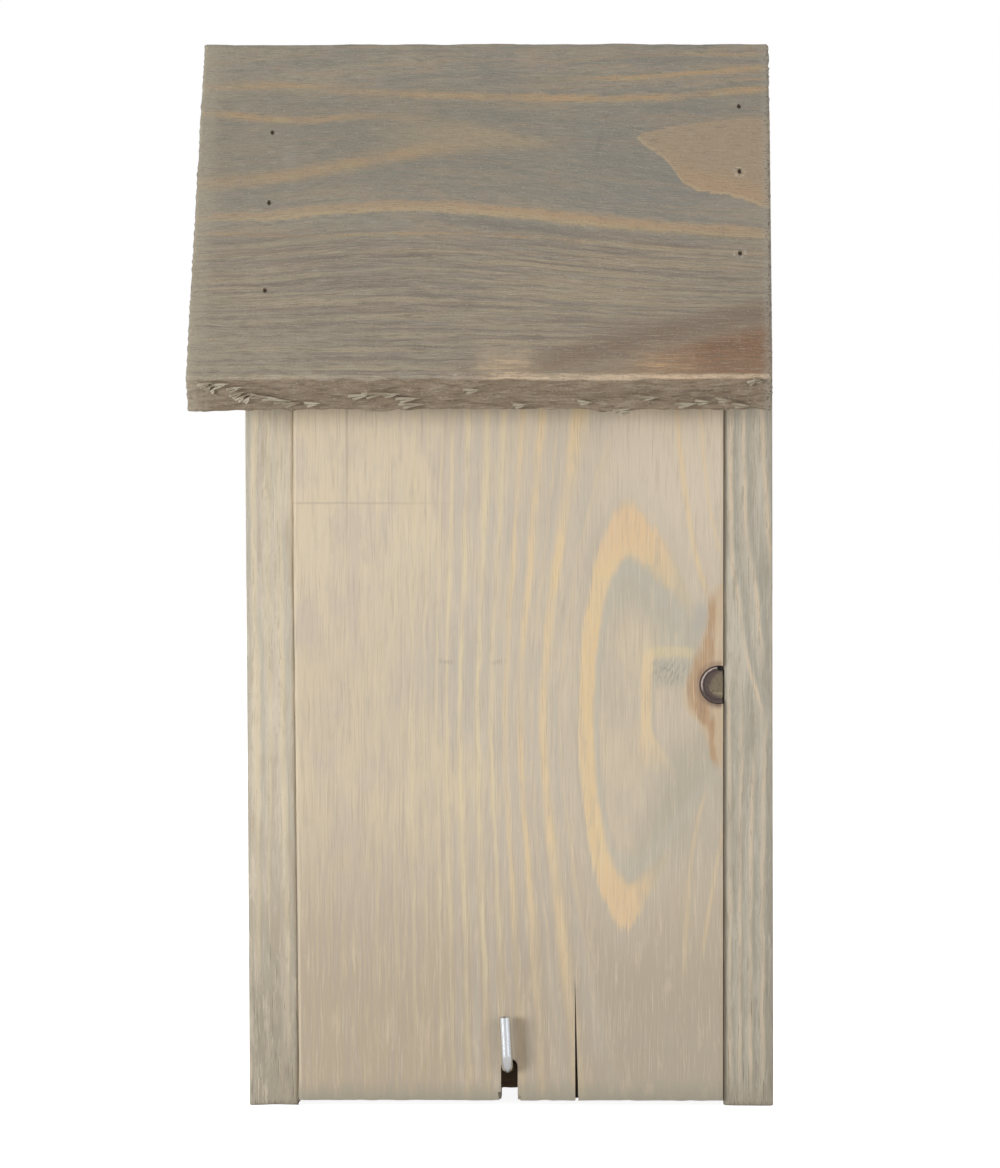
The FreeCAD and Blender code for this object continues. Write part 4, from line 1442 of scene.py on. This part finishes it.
def roof_measures(name, side):
    """A plank's bare finish and the measures that its coats share; side is 1 over the door."""
    finish = Finish(name, (160, 152, 136))
    x, y, z = finish.place()
    reach = x * side
    drop = ridge_height / MM - z
    down = (reach + drop) * math.sqrt(0.5)
    deep = (reach - drop) * math.sqrt(0.5)
    along = y - roof_low.y / MM if side > 0 else roof_high.y / MM - y
    shake = (finish.cloud(along / 14.0, down / 5.0, detail=3.0) - 0.5) * 2.4
    fuzz = (finish.cloud(along / 3.0, down / 0.8, deep / 0.8, detail=3.0, rough=0.65) - 0.5) * 4.0
    broad_line = along.along(BROAD_STREAK)
    flow = down + shake - (broad_line - STREAK_LEVEL) * down.near(STREAK_LEVEL, 60.0)
    fine, broad, patch = fibres(finish, along, flow, deep, length=5.0)
    lines = finish.cloud(along / 15.0, flow / 1.1, deep / 1.1, detail=3.0, rough=0.6)
    eave = slope_length / MM
    return SimpleNamespace(
        finish=finish, place=(x, y, z), down=down, deep=deep, along=along, shake=shake, flow=flow,
        level=down + shake + fuzz, broad_line=broad_line, fine=fine, broad=broad, patch=patch, lines=lines,
        jag=(finish.cloud(along / 2.2, down / 2.2, detail=3.0, rough=0.6) - 0.5) * 4.0,
        mottle=finish.cloud(along / 7.0, flow / 2.4, deep / 4.0, detail=4.0, rough=0.65),
        speck=finish.cloud(along / 0.8, down / 0.6, deep / 0.6, detail=3.0, rough=0.6),
        lower=down.fade(78, 92), torn=lines.fade(0.4, 0.56),
        eave=eave, sawn=down.fade(eave - 3.2, eave - 2.0) * deep.fade(-0.8, -1.4),
        sawn_lines=finish.cloud(along / 7.0, deep / 1.3, detail=4.0, rough=0.7))


print("roof measures ready, broad streak about", STREAK_LEVEL, "mm down")

# %% [markdown]
# The roof was stained and then weathered.  Clouds of four sizes lay grey and brown patches over each other,
# warmer to the front and cooler to the back, as rain and sun left them.

# %% Roof: the weathered stain


def coat_roof_stain(roof):
    """Patches, stains and mottle, and the darker upper half."""
    coat, along, down = roof.finish.coat, roof.along, roof.down
    coat((147, 143, 134), roof.patch.fade(0.46, 0.6) * (0.35 + along.fade(20, 90) * 0.55))
    coat((168, 159, 139), roof.patch.fade(0.5, 0.36) * (0.35 + along.fade(120, 30) * 0.5))
    stain = roof.finish.cloud(along / 30.0, roof.flow / 6.0, roof.deep / 6.0, detail=4.0, rough=0.6)
    coat((172, 154, 130), stain.fade(0.51, 0.62) * 0.65)
    coat((143, 140, 126), stain.fade(0.48, 0.37) * 0.65)
    coat((168, 151, 134), roof.mottle.fade(0.52, 0.64) * 0.7)
    coat((143, 140, 125), roof.mottle.fade(0.48, 0.36) * 0.7)
    coat((147, 144, 136), down.near(52.0, 30.0) * along.fade(104, 118) * 0.7)
    coat((168, 151, 132), roof.broad.fade(0.52, 0.66) * 0.6)
    coat((143, 137, 127), roof.broad.fade(0.48, 0.34) * 0.6)
    coat((139, 134, 121), down.near(44.0, 32.0, 0.4) * (along.fade(110, 60) * 0.15 + 0.28))


print("stain coats ready")

# %% [markdown]
# The streaks come next, each along its drawn line.  A brown eye lies in the middle, where a ring just
# touches the face, and a dark lens hugs the broad streak.

# %% Roof: the streaks


def coat_roof_streaks(roof):
    """The eye and the lens, the thin streaks, and the broad streak with its light edge."""
    coat, along, level = roof.finish.coat, roof.along, roof.level
    eye = (level - along.along(EYE_UPPER)).fade(-2.5, 3.5) * (along.along(EYE_LOWER) - level).fade(-2.5, 3.5)
    coat((173, 156, 130), eye * along.fade(46, 84) * along.fade(110, 103) * 0.85)
    lens = (level - along.along(LENS_LINE)).near(0.0, 3.4, 0.0) * along.near(98.0, 38.0)
    coat((137, 130, 121), lens * 0.95)
    for number, (path, width, (begin, full), strength) in enumerate(ROOF_STREAKS):
        lumps = roof.finish.cloud(along / 20.0, 5.0 * number, detail=3.0)
        uneven = lumps.fade(0.34, 0.6) * 0.6 + 0.4
        line = (level - along.along(path)).near(0.0, width, 0.1) * along.fade(begin, full) * uneven * strength
        coat((188, 158, 123), line)
        coat((176, 166, 132), line * roof.mottle.fade(0.5, 0.36) * 0.7)
    wide = 1.6 + along.fade(0, 60) * 1.6
    off_line = level - roof.broad_line
    coat((184, 158, 128), (off_line / wide).near(0.0, 1.0, 0.35) * (0.65 + along.fade(20, 110) * 0.35))
    coat((190, 169, 134), ((off_line - 1.6) / wide).near(0.0, 0.5, 0.2) * 0.7)


print("streak coats ready")

# %% [markdown]
# At the back end a flake of the surface has come off and left a brown tongue that points left.  Its edges
# are two drawn lines; the lower one is jagged and has a pale rim, where the wood broke.

# %% Roof: the tongue and two scuffs


def coat_roof_tongue(roof):
    """The brown tongue at the back end, and a dark and a pale scuff left of it."""
    coat, along, down = roof.finish.coat, roof.along, roof.down
    upper_edge = (roof.level - along.along(TONGUE_UPPER)).fade(-0.5, 0.5)
    below = along.along(TONGUE_LOWER) - down - roof.jag
    tongue = upper_edge * below.fade(-0.5, 0.5) * along.fade(131.6, 133.0)
    coat((174, 154, 129), tongue * 0.95)
    coat((184, 156, 125), tongue * below.fade(13.0, 3.0) * along.fade(138, 150) * 0.85)
    coat((192, 172, 142), tongue * below.near(0.8, 1.0) * 0.6)
    dark_scuff = (along - 121.6 + (down - 38.0) * 0.15).near(0.0, 1.4, 0.0) * down.near(46.0, 10.0)
    coat((136, 133, 124), dark_scuff * 0.8)
    pale_scuff = along.near(27.5, 3.6) * down.near(50.0, 8.0) * roof.speck.fade(0.45, 0.6)
    coat((174, 167, 153), pale_scuff * 0.6)


print("tongue coats ready")

# %% [markdown]
# The lower half is rougher: its fibres stand up in grey and brown bands.  Towards the back corner they were
# torn and show raw wood, from a dark bruise over reddish brown to tan and pale patches just above the eave.

# %% Roof: the rough lower half


def coat_roof_lower(roof):
    """Bands of standing fibres, lighter towards the front eave."""
    coat, along, lower = roof.finish.coat, roof.along, roof.lower
    bands = roof.finish.cloud(along / 80.0, roof.flow / 1.7, roof.deep / 4.0, detail=1.0)
    coat((152, 140, 125), lower * 0.5)
    coat((174, 159, 133), lower * bands.fade(0.5, 0.62) * 0.75)
    coat((139, 127, 114), lower * bands.fade(0.47, 0.35) * 0.8)
    coat((178, 166, 147), lower * roof.lines.fade(0.53, 0.68) * 0.5)
    coat((128, 118, 106), lower * roof.lines.fade(0.46, 0.33) * 0.6)
    front_corner = roof.down.fade(104, 132) * along.fade(62, 26)
    coat((167, 157, 138), front_corner * roof.mottle.fade(0.42, 0.6) * 0.7)


def coat_roof_corner(roof):
    """The torn corner at the back: bruise, reddish wood, tan and pale patches."""
    coat, along, level = roof.finish.coat, roof.along, roof.level
    frayed = along + roof.jag * 2.0
    whole = 1.0 - roof.torn * 0.7
    face = 1.0 - roof.sawn
    below_bruise = level - along.along(BRUISE_LINE)
    bruise = below_bruise.near(0.0, 8.0, 0.1) * along.fade(92, 112)
    coat((150, 131, 109), along.fade(96, 135) * roof.down.fade(108, 128) * 0.4)
    coat((138, 120, 103), bruise * (0.5 + roof.torn * 0.45))
    corner = (along + roof.jag * 2.5).fade(128, 156) * below_bruise.fade(3.0, 10.0)
    coat((152, 118, 92), corner * 0.9)
    coat((126, 98, 78), corner * roof.torn * 0.6)
    coat((192, 157, 121), frayed.near(141.0, 14.0) * level.fade(128, 140) * face * whole)
    coat((200, 176, 146), frayed.near(94.0, 12.0) * level.fade(126, 139) * face * whole)
    coat((156, 132, 108), level.fade(132, 143) * along.fade(60, 120) * roof.torn * 0.6)


print("lower half's coats ready")

# %% [markdown]
# The eave is the sawn lower edge.  It is darker and lined along the grain, with a pale splintered arris
# above it.  Both ends of the plank are chewed, and around the back brads the wood is broken and pale.

# %% Roof: the sawn edge, the ends and the brads


def coat_roof_edges(roof, side):
    """The sawn eave with its arris, the chewed ends and the broken wood round the back brads."""
    coat, along, fine, jag = roof.finish.coat, roof.along, roof.fine, roof.jag
    coat((144, 127, 107), roof.sawn * 0.95)
    coat((114, 98, 83), roof.sawn * roof.sawn_lines.fade(0.5, 0.64) * 0.8)
    coat((164, 152, 135), roof.sawn * roof.sawn_lines.fade(0.46, 0.34) * 0.75)
    coat((156, 132, 104), roof.sawn * roof.patch.fade(0.44, 0.6) * roof.deep.fade(-4.0, 3.0) * 0.6)
    arris = roof.down.fade(roof.eave - 1.8, roof.eave - 0.8) * roof.deep.fade(-1.3, -0.6)
    coat((211, 188, 160), arris * fine.fade(0.34, 0.5) * along.fade(84, 104) * 0.85)
    coat((180, 170, 150), (along + jag * 2.0).fade(8.0, 0.6) * fine.fade(0.38, 0.54) * 0.85)
    coat((178, 171, 157), (along + jag).fade(168.8, 171.4) * fine.fade(0.36, 0.52) * 0.6)
    coat((84, 75, 66), (along + jag * 0.6).fade(169.8, 171.2) * roof.speck.fade(0.53, 0.64) * 0.8)
    outward = Vector((side, 0, 1)).normalized()
    ridge = Vector((0, 0, ridge_height))
    x, y, z = roof.place
    for head in brad_heads(f"roof_nails_{ROOF_SIDES[side]}_side_back", outward, ridge)[1:]:
        away = ((x - head.x / MM) ** 2 + (y - head.y / MM) ** 2 + (z - head.z / MM) ** 2) ** 0.5
        coat((202, 194, 178), (away + jag * 0.35).near(1.75, 0.7) * roof.speck.fade(0.5, 0.42) * 0.85)


print("edge coats ready")

# %% [markdown]
# Fibres and specks go over all of it.  Where a plank is cut across, growth rings show: circles round a line
# that lies a little below the board, which is where the middle of the tree was.

# %% Roof: fibres and end grain
PITH_DOWN, PITH_BELOW = 58.0, 46.0


def coat_roof_fibres(roof):
    """Fine fibres and specks, and the rings on the plank's ends."""
    coat, fine, speck = roof.finish.coat, roof.fine, roof.speck
    coat((129, 120, 108), fine.fade(0.53, 0.7) * 0.6)
    coat((184, 174, 156), fine.fade(0.46, 0.3) * 0.5)
    coat((121, 112, 102), speck.fade(0.57, 0.7) * 0.5)
    coat((192, 183, 167), speck.fade(0.42, 0.3) * 0.45)
    cut_end = end_grain(roof.finish, 1)
    ring = ((roof.down - PITH_DOWN) ** 2 + (roof.deep + PITH_BELOW) ** 2) ** 0.5 + roof.shake * 0.6
    rings = roof.finish.cloud(ring / 1.5, roof.along / 400.0, detail=1.0)
    coat((126, 116, 103), cut_end * 0.6)
    coat((98, 88, 76), cut_end * rings.fade(0.5, 0.62) * 0.6)
    coat((158, 146, 126), cut_end * rings.fade(0.44, 0.32) * 0.5)


print("fibre and end-grain coats ready")

# %% [markdown]
# The coats go on in the order in which weather and saw made them.  The relief is a bump only: fibres, rough
# lines in the lower half and deeper lines in the sawn edge.  The torn fibres are raw wood, palest at the
# front end.

# %% Paint both planks and the torn fibres


def paint_roof(name, side):
    """All coats of one plank, and a relief of its fibres and its sawn edge."""
    roof = roof_measures(name, side)
    coat_roof_stain(roof)
    coat_roof_streaks(roof)
    coat_roof_tongue(roof)
    coat_roof_lower(roof)
    coat_roof_corner(roof)
    coat_roof_edges(roof, side)
    coat_roof_fibres(roof)
    rough_wood = roof.fine * 0.14 + roof.lines * roof.lower * 0.2 + roof.broad * 0.06
    relief = rough_wood + roof.sawn_lines * roof.sawn * 0.5 + roof.speck * 0.06
    return roof.finish.done(relief, 0.7 + roof.fine * 0.2)


def paint_torn_fibres():
    """Raw wood, palest at the front end."""
    finish = Finish("torn_fibre_pine", (192, 183, 164))
    x, y, z = finish.place()
    shade = finish.cloud(y / 5.0, z / 3.0, x / 3.0, detail=2.0)
    finish.coat((160, 149, 130), (y - roof_low.y / MM).fade(30, 60) * 0.6)
    finish.coat((146, 133, 113), shade.fade(0.44, 0.6) * 0.8)
    return finish.done(shade * 0.05, 0.75)


dress(roof_door_plank, paint_roof("roof_stained_pine", 1))
dress(roof_fixed_plank, paint_roof("roof_stained_pine_far", -1))
dress(eave_fibres, paint_torn_fibres())

# %% [markdown]
# ## Walls and floor
# The gables, the fixed side and the floor are the same washed pine as the door, a little greyer and darker
# towards the foot.  Growth rings are nearly round about the middle of the tree, so a ring pattern round a
# far line gives each face the right figure by itself: lines on the edges and flames on the faces.  The two
# edges beside the door have streaks of their own, drawn as lines up the board.

# %% Streaks on the two edges beside the door
# Each streak: (height, distance from the board's front face) points, half width, strength.
FRONT_STREAKS = (
    (((90, 3.2), (150, 2.4), (175, 2.0), (206, 2.6)), 1.3, 0.7),
    (((80, 10.9), (120, 10.5), (145, 10.0)), 0.9, 0.8),
    (((40, 3.6), (105, 3.4), (130, 3.6)), 1.0, 0.5),
    (((20, 12.4), (60, 12.0), (95, 11.6)), 1.0, 0.5),
    (((60, 6.6), (110, 7.0), (170, 6.2), (206, 6.6)), 0.8, 0.45),
    (((130, 10.6), (170, 9.8), (206, 10.0)), 1.5, 0.4))
BACK_STREAKS = (
    (((118, 12.0), (138, 6.7), (155, 4.3), (162, 3.2), (205, 2.7)), 1.0, 0.85),
    (((136, 12.0), (158, 9.4), (168, 7.6), (186, 6.7), (205, 6.5)), 1.0, 0.8),
    (((166, 14.4), (192, 12.4), (206, 11.8)), 1.4, 0.85),
    (((10, 2.5), (60, 2.6), (120, 2.2)), 0.9, 0.6),
    (((10, 5.6), (60, 5.4), (112, 5.9)), 0.9, 0.65),
    (((10, 8.8), (60, 8.6), (100, 9.4)), 1.1, 0.75),
    (((8, 12.4), (70, 12.3), (112, 13.0)), 1.0, 0.65))
print("streaks: front", len(FRONT_STREAKS), "back", len(BACK_STREAKS))

# %% [markdown]
# The walls share one set of measures too.  `grain` runs along the fibres, `first` and `second` across them,
# so the same words serve an upright board and the floor, and `late` is the ring pattern.

# %% Measures on a wall
EDGE_FACE_FROM = 74.6


def shade_of(colour, step):
    """A colour made lighter by a step, or darker by a negative one."""
    return tuple(min(255, part + step) for part in colour)


def wall_measures(name, bare, cool, pith, grain_axis):
    """A wall's bare finish and its measures; pith is (x, y), or (x, z) where the grain runs along Y."""
    finish = Finish(name, bare)
    x, y, z = finish.place()
    grain, first, second = (z, x, y) if grain_axis == 2 else (y, x, z)
    sway = (finish.cloud(grain / 100.0, first / 40.0, second / 40.0, detail=1.0) - 0.5) * 10.0
    ripple = (finish.cloud(grain / 12.0, first / 4.0, second / 4.0, detail=3.0) - 0.5) * 2.0
    ring = ((first - pith[0]) ** 2 + (second - pith[1]) ** 2) ** 0.5 + sway + ripple * 0.25
    fine, broad, patch = fibres(finish, grain, first + ripple, second + ripple)
    return SimpleNamespace(
        finish=finish, x=x, y=y, grain=grain, first=first, second=second, ripple=ripple,
        fine=fine, broad=broad, patch=patch, upright=grain_axis == 2,
        light=shade_of(bare, 16), dark=shade_of(bare, -24), cool=cool,
        late=finish.cloud(ring / 3.2, grain / 400.0, detail=1.0),
        mottle=finish.cloud(grain / 14.0, first / 2.4, second / 2.4, detail=4.0, rough=0.6))


print("wall measures ready")

# %% [markdown]
# First the wash and the rings.  The rings are a cloud read along the distance from the middle of the tree,
# so each is a closed tube through the board.  On the two edges beside the door they are held back, because
# these have streaks of their own.

# %% Wall: wash and rings


def coat_wall_rings(wall, foot, figured):
    """Patchy wash, a dirty foot on upright boards, and the growth rings as strong as figured says."""
    coat, late = wall.finish.coat, wall.late
    coat(wall.dark, wall.patch.fade(0.48, 0.64) * 0.5)
    coat(wall.light, wall.patch.fade(0.5, 0.34) * 0.5)
    coat(wall.cool, late.fade(0.48, 0.34) * 0.6)
    if wall.upright:
        coat(foot, wall.grain.fade(125, 12) * 0.85)
    strength = 0.8 if wall.upright else 0.35
    coat(shade_of(wall.cool, -14), late.fade(0.47, 0.38) * figured * strength * 0.7)
    coat((217, 190, 148), late.fade(0.53, 0.62) * figured * strength)
    coat((184, 156, 119), late.near(0.525, 0.022, 0.4) * figured * strength * 0.6)


print("ring coats ready")

# %% [markdown]
# A streak is a pale line with a cool shadow on one side and a soft light on the other, as late wood between
# two bands of early wood looks.  The arris at the edge's -Y side is darkened: on the front gable it is the
# grey weathered outer arris, on the back gable it is painted shade where the door's shadow falls beside the
# joint.

# %% Wall: the drawn streaks


def coat_wall_streaks(wall, streaks, face, tone, figured):
    """The streaks of an edge beside the door; face is the board's front face in millimetres."""
    coat, grain = wall.finish.coat, wall.grain
    across = wall.y - face + wall.ripple * 0.6
    for number, (path, width, strength) in enumerate(streaks):
        first, last = path[0][0], path[-1][0]
        ends = grain.fade(first - 10, first + 6) * grain.fade(last + 10, last - 6)
        uneven = wall.finish.cloud(grain / 22.0, 5.0 * number, detail=3.0).fade(0.32, 0.58) * 0.6 + 0.4
        side = across - grain.along(path, 20.0)
        coat(wall.cool, side.near(1.7, 1.5, 0.1) * ends * strength * 0.8)
        coat(wall.light, (side + 0.8).near(0.0, width * 2.0, 0.0) * ends * strength * 0.6)
        coat(tone, side.near(0.0, width * 0.9, 0.1) * ends * uneven * strength)
    # Darkened -Y arris: grey weathered arris on the front gable, painted shade beside the door's joint on the
    # back gable.
    coat(shade_of(wall.cool, -16), across.fade(2.0, 0.6) * (1.0 - figured) * 0.75)


print("edge streaks ready")

# %% [markdown]
# Upright boards stand in the wet, so fine cracks open in their foot and its end goes dark.  The fibres go on
# last.

# %% Wall: cracks, fibres and end grain
CRACK_LIMIT = 70.0


def coat_wall_wear(wall, grain_axis):
    """Cracks and damp at the foot of upright boards, then mottle, fibres and end grain."""
    coat, grain, fine, mottle = wall.finish.coat, wall.grain, wall.fine, wall.mottle
    if wall.upright:
        crack = wall.finish.cloud(grain / 16.0, wall.first / 0.5, wall.second / 0.5, detail=2.0)
        coat((112, 102, 88), crack.fade(0.62, 0.7) * grain.fade(CRACK_LIMIT, 20) * 0.75)
        coat((96, 87, 75), (grain + crack * 9.0).fade(5.6, 3.4) * 0.8)
    coat(wall.light, mottle.fade(0.54, 0.7) * 0.4)
    coat(wall.dark, mottle.fade(0.46, 0.32) * 0.5)
    coat(wall.dark, fine.fade(0.53, 0.68) * 0.7)
    coat(wall.light, fine.fade(0.47, 0.3) * 0.5)
    coat((146, 133, 116), end_grain(wall.finish, grain_axis) * 0.6)


print("wall wear ready")

# %% [markdown]
# Each board gets its own bare colour, cool tone, foot and middle of the tree.  The floor has the same coats
# in a darker, unwashed pine, with its grain along Y.

# %% Paint the walls and the floor
WARM_STREAK, PINK_STREAK = (214, 199, 167), (213, 194, 167)


def paint_wall(name, bare, cool, foot, pith, streaks=(), face=0.0, tone=WARM_STREAK, grain_axis=2):
    """All coats of a wall or of the floor."""
    wall = wall_measures(name, bare, cool, pith, grain_axis)
    figured = wall.x.fade(EDGE_FACE_FROM, EDGE_FACE_FROM - 0.4) if streaks else 1.0
    coat_wall_rings(wall, foot, figured)
    if streaks:
        coat_wall_streaks(wall, streaks, face, tone, figured)
    coat_wall_wear(wall, grain_axis)
    return wall.finish.done(wall.fine * 0.1 + wall.broad * 0.05, 0.68 + wall.fine * 0.2)


dress(front_board, paint_wall(
    "front_washed_pine", (204, 191, 169), (189, 182, 167), (156, 147, 132),
    (-40.0, -240.0), FRONT_STREAKS, front_low.y / MM))
dress(back_board, paint_wall(
    "back_washed_pine", (184, 175, 158), (164, 159, 146), (152, 143, 126),
    (60.0, 300.0), BACK_STREAKS, back_low.y / MM, PINK_STREAK))
dress(fixed_side_board, paint_wall(
    "side_washed_pine", (196, 182, 160), (178, 171, 156), (158, 144, 124), (-300.0, 30.0)))
dress(floor_plank, paint_wall(
    "floor_pine", (150, 128, 104), (130, 113, 94), (120, 102, 84), (20.0, -200.0), grain_axis=1))

# %% [markdown]
# ## The knot's finish
# The knot is dark resinous wood.  From its rim inwards it has a glossy edge, a dark groove and a crumbled
# olive middle, so one measure, the distance in from the rim, carries nearly all of its coats.  A pale
# crescent on the edge's upper left is a painted highlight, and the pit is painted near black as shade.

# %% Paint the knot


def paint_knot():
    """Coats by distance from the rim, made ragged by a crumbly cloud."""
    finish = Finish("knot_heartwood", (84, 68, 62), specular=0.5)
    x, y, z = finish.place()
    aside = y - knot_middle.y / MM
    above = z - knot_middle.z / MM
    rim = KNOT_RADIUS / MM - (aside ** 2 + above ** 2) ** 0.5
    crumb = finish.cloud(y / 0.6, z / 0.6, x / 0.6, detail=4.0)
    rough = (crumb - 0.5) * 1.4
    # The olive middle with a pale crust low in it, the groove, and a painted highlight on the edge's upper
    # left.
    finish.coat((120, 107, 84), (rim + rough * 1.8 + aside * 0.6).fade(1.2, 3.0) * 0.9)
    finish.coat((152, 140, 110), (rim + rough * 2.0).near(3.0, 0.5) * above.fade(1.0, -2.0) * 0.6)
    finish.coat((58, 45, 42), (rim + rough * 0.6).near(1.25, 0.5) * 0.8)
    finish.coat((206, 188, 178), (rim + rough * 0.4).near(0.62, 0.34) * (above - aside).fade(2.0, 5.0) * 0.9)
    finish.coat((60, 48, 43), crumb.fade(0.54, 0.68) * 0.6)
    # Painted shade: the pit at the top right goes near black; then the dark outer edge.
    pit = ((aside - PIT_ASIDE / MM) ** 2 + (above - (KNOT_RADIUS - PIT_IN) / MM) ** 2) ** 0.5
    finish.coat((30, 22, 20), (pit + rough * 0.3).fade(1.2, 0.8))
    finish.coat((48, 37, 34), (rim + rough * 0.2).fade(0.34, 0.1) * 0.85)
    return finish.done(crumb * 0.15, 0.4 + crumb * 0.3)


dress(door_knot, paint_knot())

# %% [markdown]
# ## Hook and nails
# The hook is bright zinc-plated wire: a smooth metal with faint drawing lines along it.  The brads are plain
# steel, dark in their pits and a little rusty.  Both stay as the frame's own nodes, which already have the
# right shape, so only their material is set.

# %% Paint the metal


def paint_hook():
    """Bright zinc, with drawing lines along the wire."""
    finish = Finish("hook_bright_zinc", (226, 229, 233), metal=1.0, specular=0.5)
    x, y, z = finish.place()
    drawn = finish.cloud(x / 0.25, y / 0.25, z / 6.0, detail=2.0)
    finish.coat((206, 211, 217), drawn.fade(0.45, 0.65) * 0.6)
    return finish.done(drawn * 0.006, 0.14 + drawn * 0.08)


def paint_nails():
    """Dull dark steel with a breath of rust."""
    finish = Finish("nail_dark_steel", (104, 94, 84), metal=0.4, specular=0.4)
    x, y, z = finish.place()
    rust = finish.cloud(x / 0.5, y / 0.5, z / 0.5, detail=3.0)
    finish.coat((112, 88, 68), rust.fade(0.45, 0.65) * 0.6)
    return finish.done(rust * 0.05, 0.5 + rust * 0.3)


hook_finish, nail_finish = paint_hook(), paint_nails()
for name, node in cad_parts.items():
    if "nail" in name or name == "latch_hook":
        node.material_slots[0].material = hook_finish if name == "latch_hook" else nail_finish
print("metal painted")

# %% [markdown]
# ## Stage, light and camera
# The picture was taken on white, with a broad lamp low on the left and softer light from all round.  The
# floor is white; the camera sees the background and the open floor as plain white, yet the floor still takes
# a shadow.  The lamps are set so that the door renders about as its colours are written.

# %% White world
WORLD_LEVEL = 0.39
MIRROR_LEVEL = 0.25


def seen_directly(tree):
    """1 for camera rays, a share for mirror rays, and 0 for the rays that carry light on to the box."""
    path = tree.nodes.new("ShaderNodeLightPath")
    mirrored = Measure(tree, path.outputs["Is Glossy Ray"]) * MIRROR_LEVEL
    return Measure(tree, path.outputs["Is Camera Ray"]).work("MAXIMUM", mirrored)


world = bpy.data.worlds.new("white_room")
bpy.context.scene.world = world
world.use_nodes = True
sky = world.node_tree.nodes["Background"]
sky.inputs["Color"].default_value = (1, 1, 1, 1)
brightness = seen_directly(world.node_tree) * (1 - WORLD_LEVEL) + WORLD_LEVEL
feed(world.node_tree, sky.inputs["Strength"], brightness)
print("world set to", WORLD_LEVEL)

# %% [markdown]
# The floor lies at the lowest point of the dressed box, because the sawn feet reach a little below the
# frame's.  It glows for the camera, so that it melts into the white, and is matt for everything else, so
# that it takes shadow.

# %% White floor
FLOOR_SIZE = 12.0
FLOOR_GLOW = 0.92
pick_nothing()
bpy.ops.mesh.primitive_plane_add(size=FLOOR_SIZE, location=(0, 0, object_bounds()[0][2]))
ground = bpy.context.object
ground.name = "white_floor"
paper = bpy.data.materials.new("white_paper")
paper.use_nodes = True
leaf = paper.node_tree.nodes["Principled BSDF"]
leaf.inputs["Base Color"].default_value = (0.8, 0.8, 0.8, 1)
leaf.inputs["Roughness"].default_value = 0.9
leaf.inputs["Emission Color"].default_value = (1, 1, 1, 1)
feed(paper.node_tree, leaf.inputs["Emission Strength"], seen_directly(paper.node_tree) * FLOOR_GLOW)
ground.data.materials.append(paper)
print("floor at", round(ground.location.z / MM, 2), "mm")

# %% [markdown]
# A studio is dark behind the camera, and the polished hook shows it as a thin dark line between two bright
# ones.  A dark card stands there, which only mirrors can see.

# %% Dark card behind the camera
CARD_PLACE = (3.4, 0.0, 0.6)
CARD_HEIGHT, CARD_WIDTH = 2.2, 2.0
pick_nothing()
bpy.ops.mesh.primitive_plane_add(size=1, location=CARD_PLACE, rotation=(0, math.radians(-90), 0))
card = bpy.context.object
card.name = "dark_card"
card.scale = (CARD_HEIGHT, CARD_WIDTH, 1)
for ray in ("camera", "diffuse", "transmission", "volume_scatter", "shadow"):
    setattr(card, "visible_" + ray, False)
felt = bpy.data.materials.new("dark_felt")
felt.use_nodes = True
felt.node_tree.nodes["Principled BSDF"].inputs["Base Color"].default_value = (0.03, 0.03, 0.03, 1)
card.data.materials.append(felt)
print("dark card at", CARD_PLACE)

# %% [markdown]
# Four soft square lamps light the box.  The key lamp stands low on the left and throws the eave's shadow;
# the others keep the right side, the back and the far side from going dark when the box is turned.

# %% Lamps
AIM = Vector((0.03, 0.0, 0.17))
# Name, place, size and power.
LAMPS = (
    ("key_left", (1.5, -1.6, 0.31), 0.75, 30.0),
    ("fill_right", (2.0, 1.6, 0.7), 1.4, 12.0),
    ("fill_back", (-1.8, 1.6, 1.2), 1.4, 22.0),
    ("fill_far", (-1.5, -1.9, 0.9), 1.4, 18.0))


def lamp(name, place, size, power):
    """A square soft lamp that looks at the box."""
    pick_nothing()
    bpy.ops.object.light_add(type="AREA", location=place)
    light = bpy.context.object
    light.name = name
    light.data.size = size
    light.data.energy = power
    light.rotation_euler = (AIM - Vector(place)).to_track_quat("-Z", "Y").to_euler()


for name, place, size, power in LAMPS:
    lamp(name, place, size, power)
print("lamps:", [name for name, *_ in LAMPS])

# %% [markdown]
# The camera stands well back with a long lens.  It is higher than the eave, because the picture shows
# nothing of the far roof board under the near one.  Its place was found from how the roof's ends lean in the
# picture; its aim puts the box where the picture has it.

# %% Camera
CAMERA_PLACE = Vector((2.557, 0.05657, 0.216))
CAMERA_AIM = Vector((0.076, 0.0055, 0.155))
LENS = 257.8
pick_nothing()
bpy.ops.object.camera_add(location=CAMERA_PLACE)
camera = bpy.context.object
camera.rotation_euler = (CAMERA_AIM - CAMERA_PLACE).to_track_quat("-Z", "Y").to_euler()
camera.data.sensor_width = 36
camera.data.lens = LENS
camera.data.clip_end = 50
bpy.context.scene.camera = camera
bpy.context.scene.view_settings.view_transform = "Standard"
print("camera", round((CAMERA_PLACE - CAMERA_AIM).length, 2), "m away with a", LENS, "mm lens")
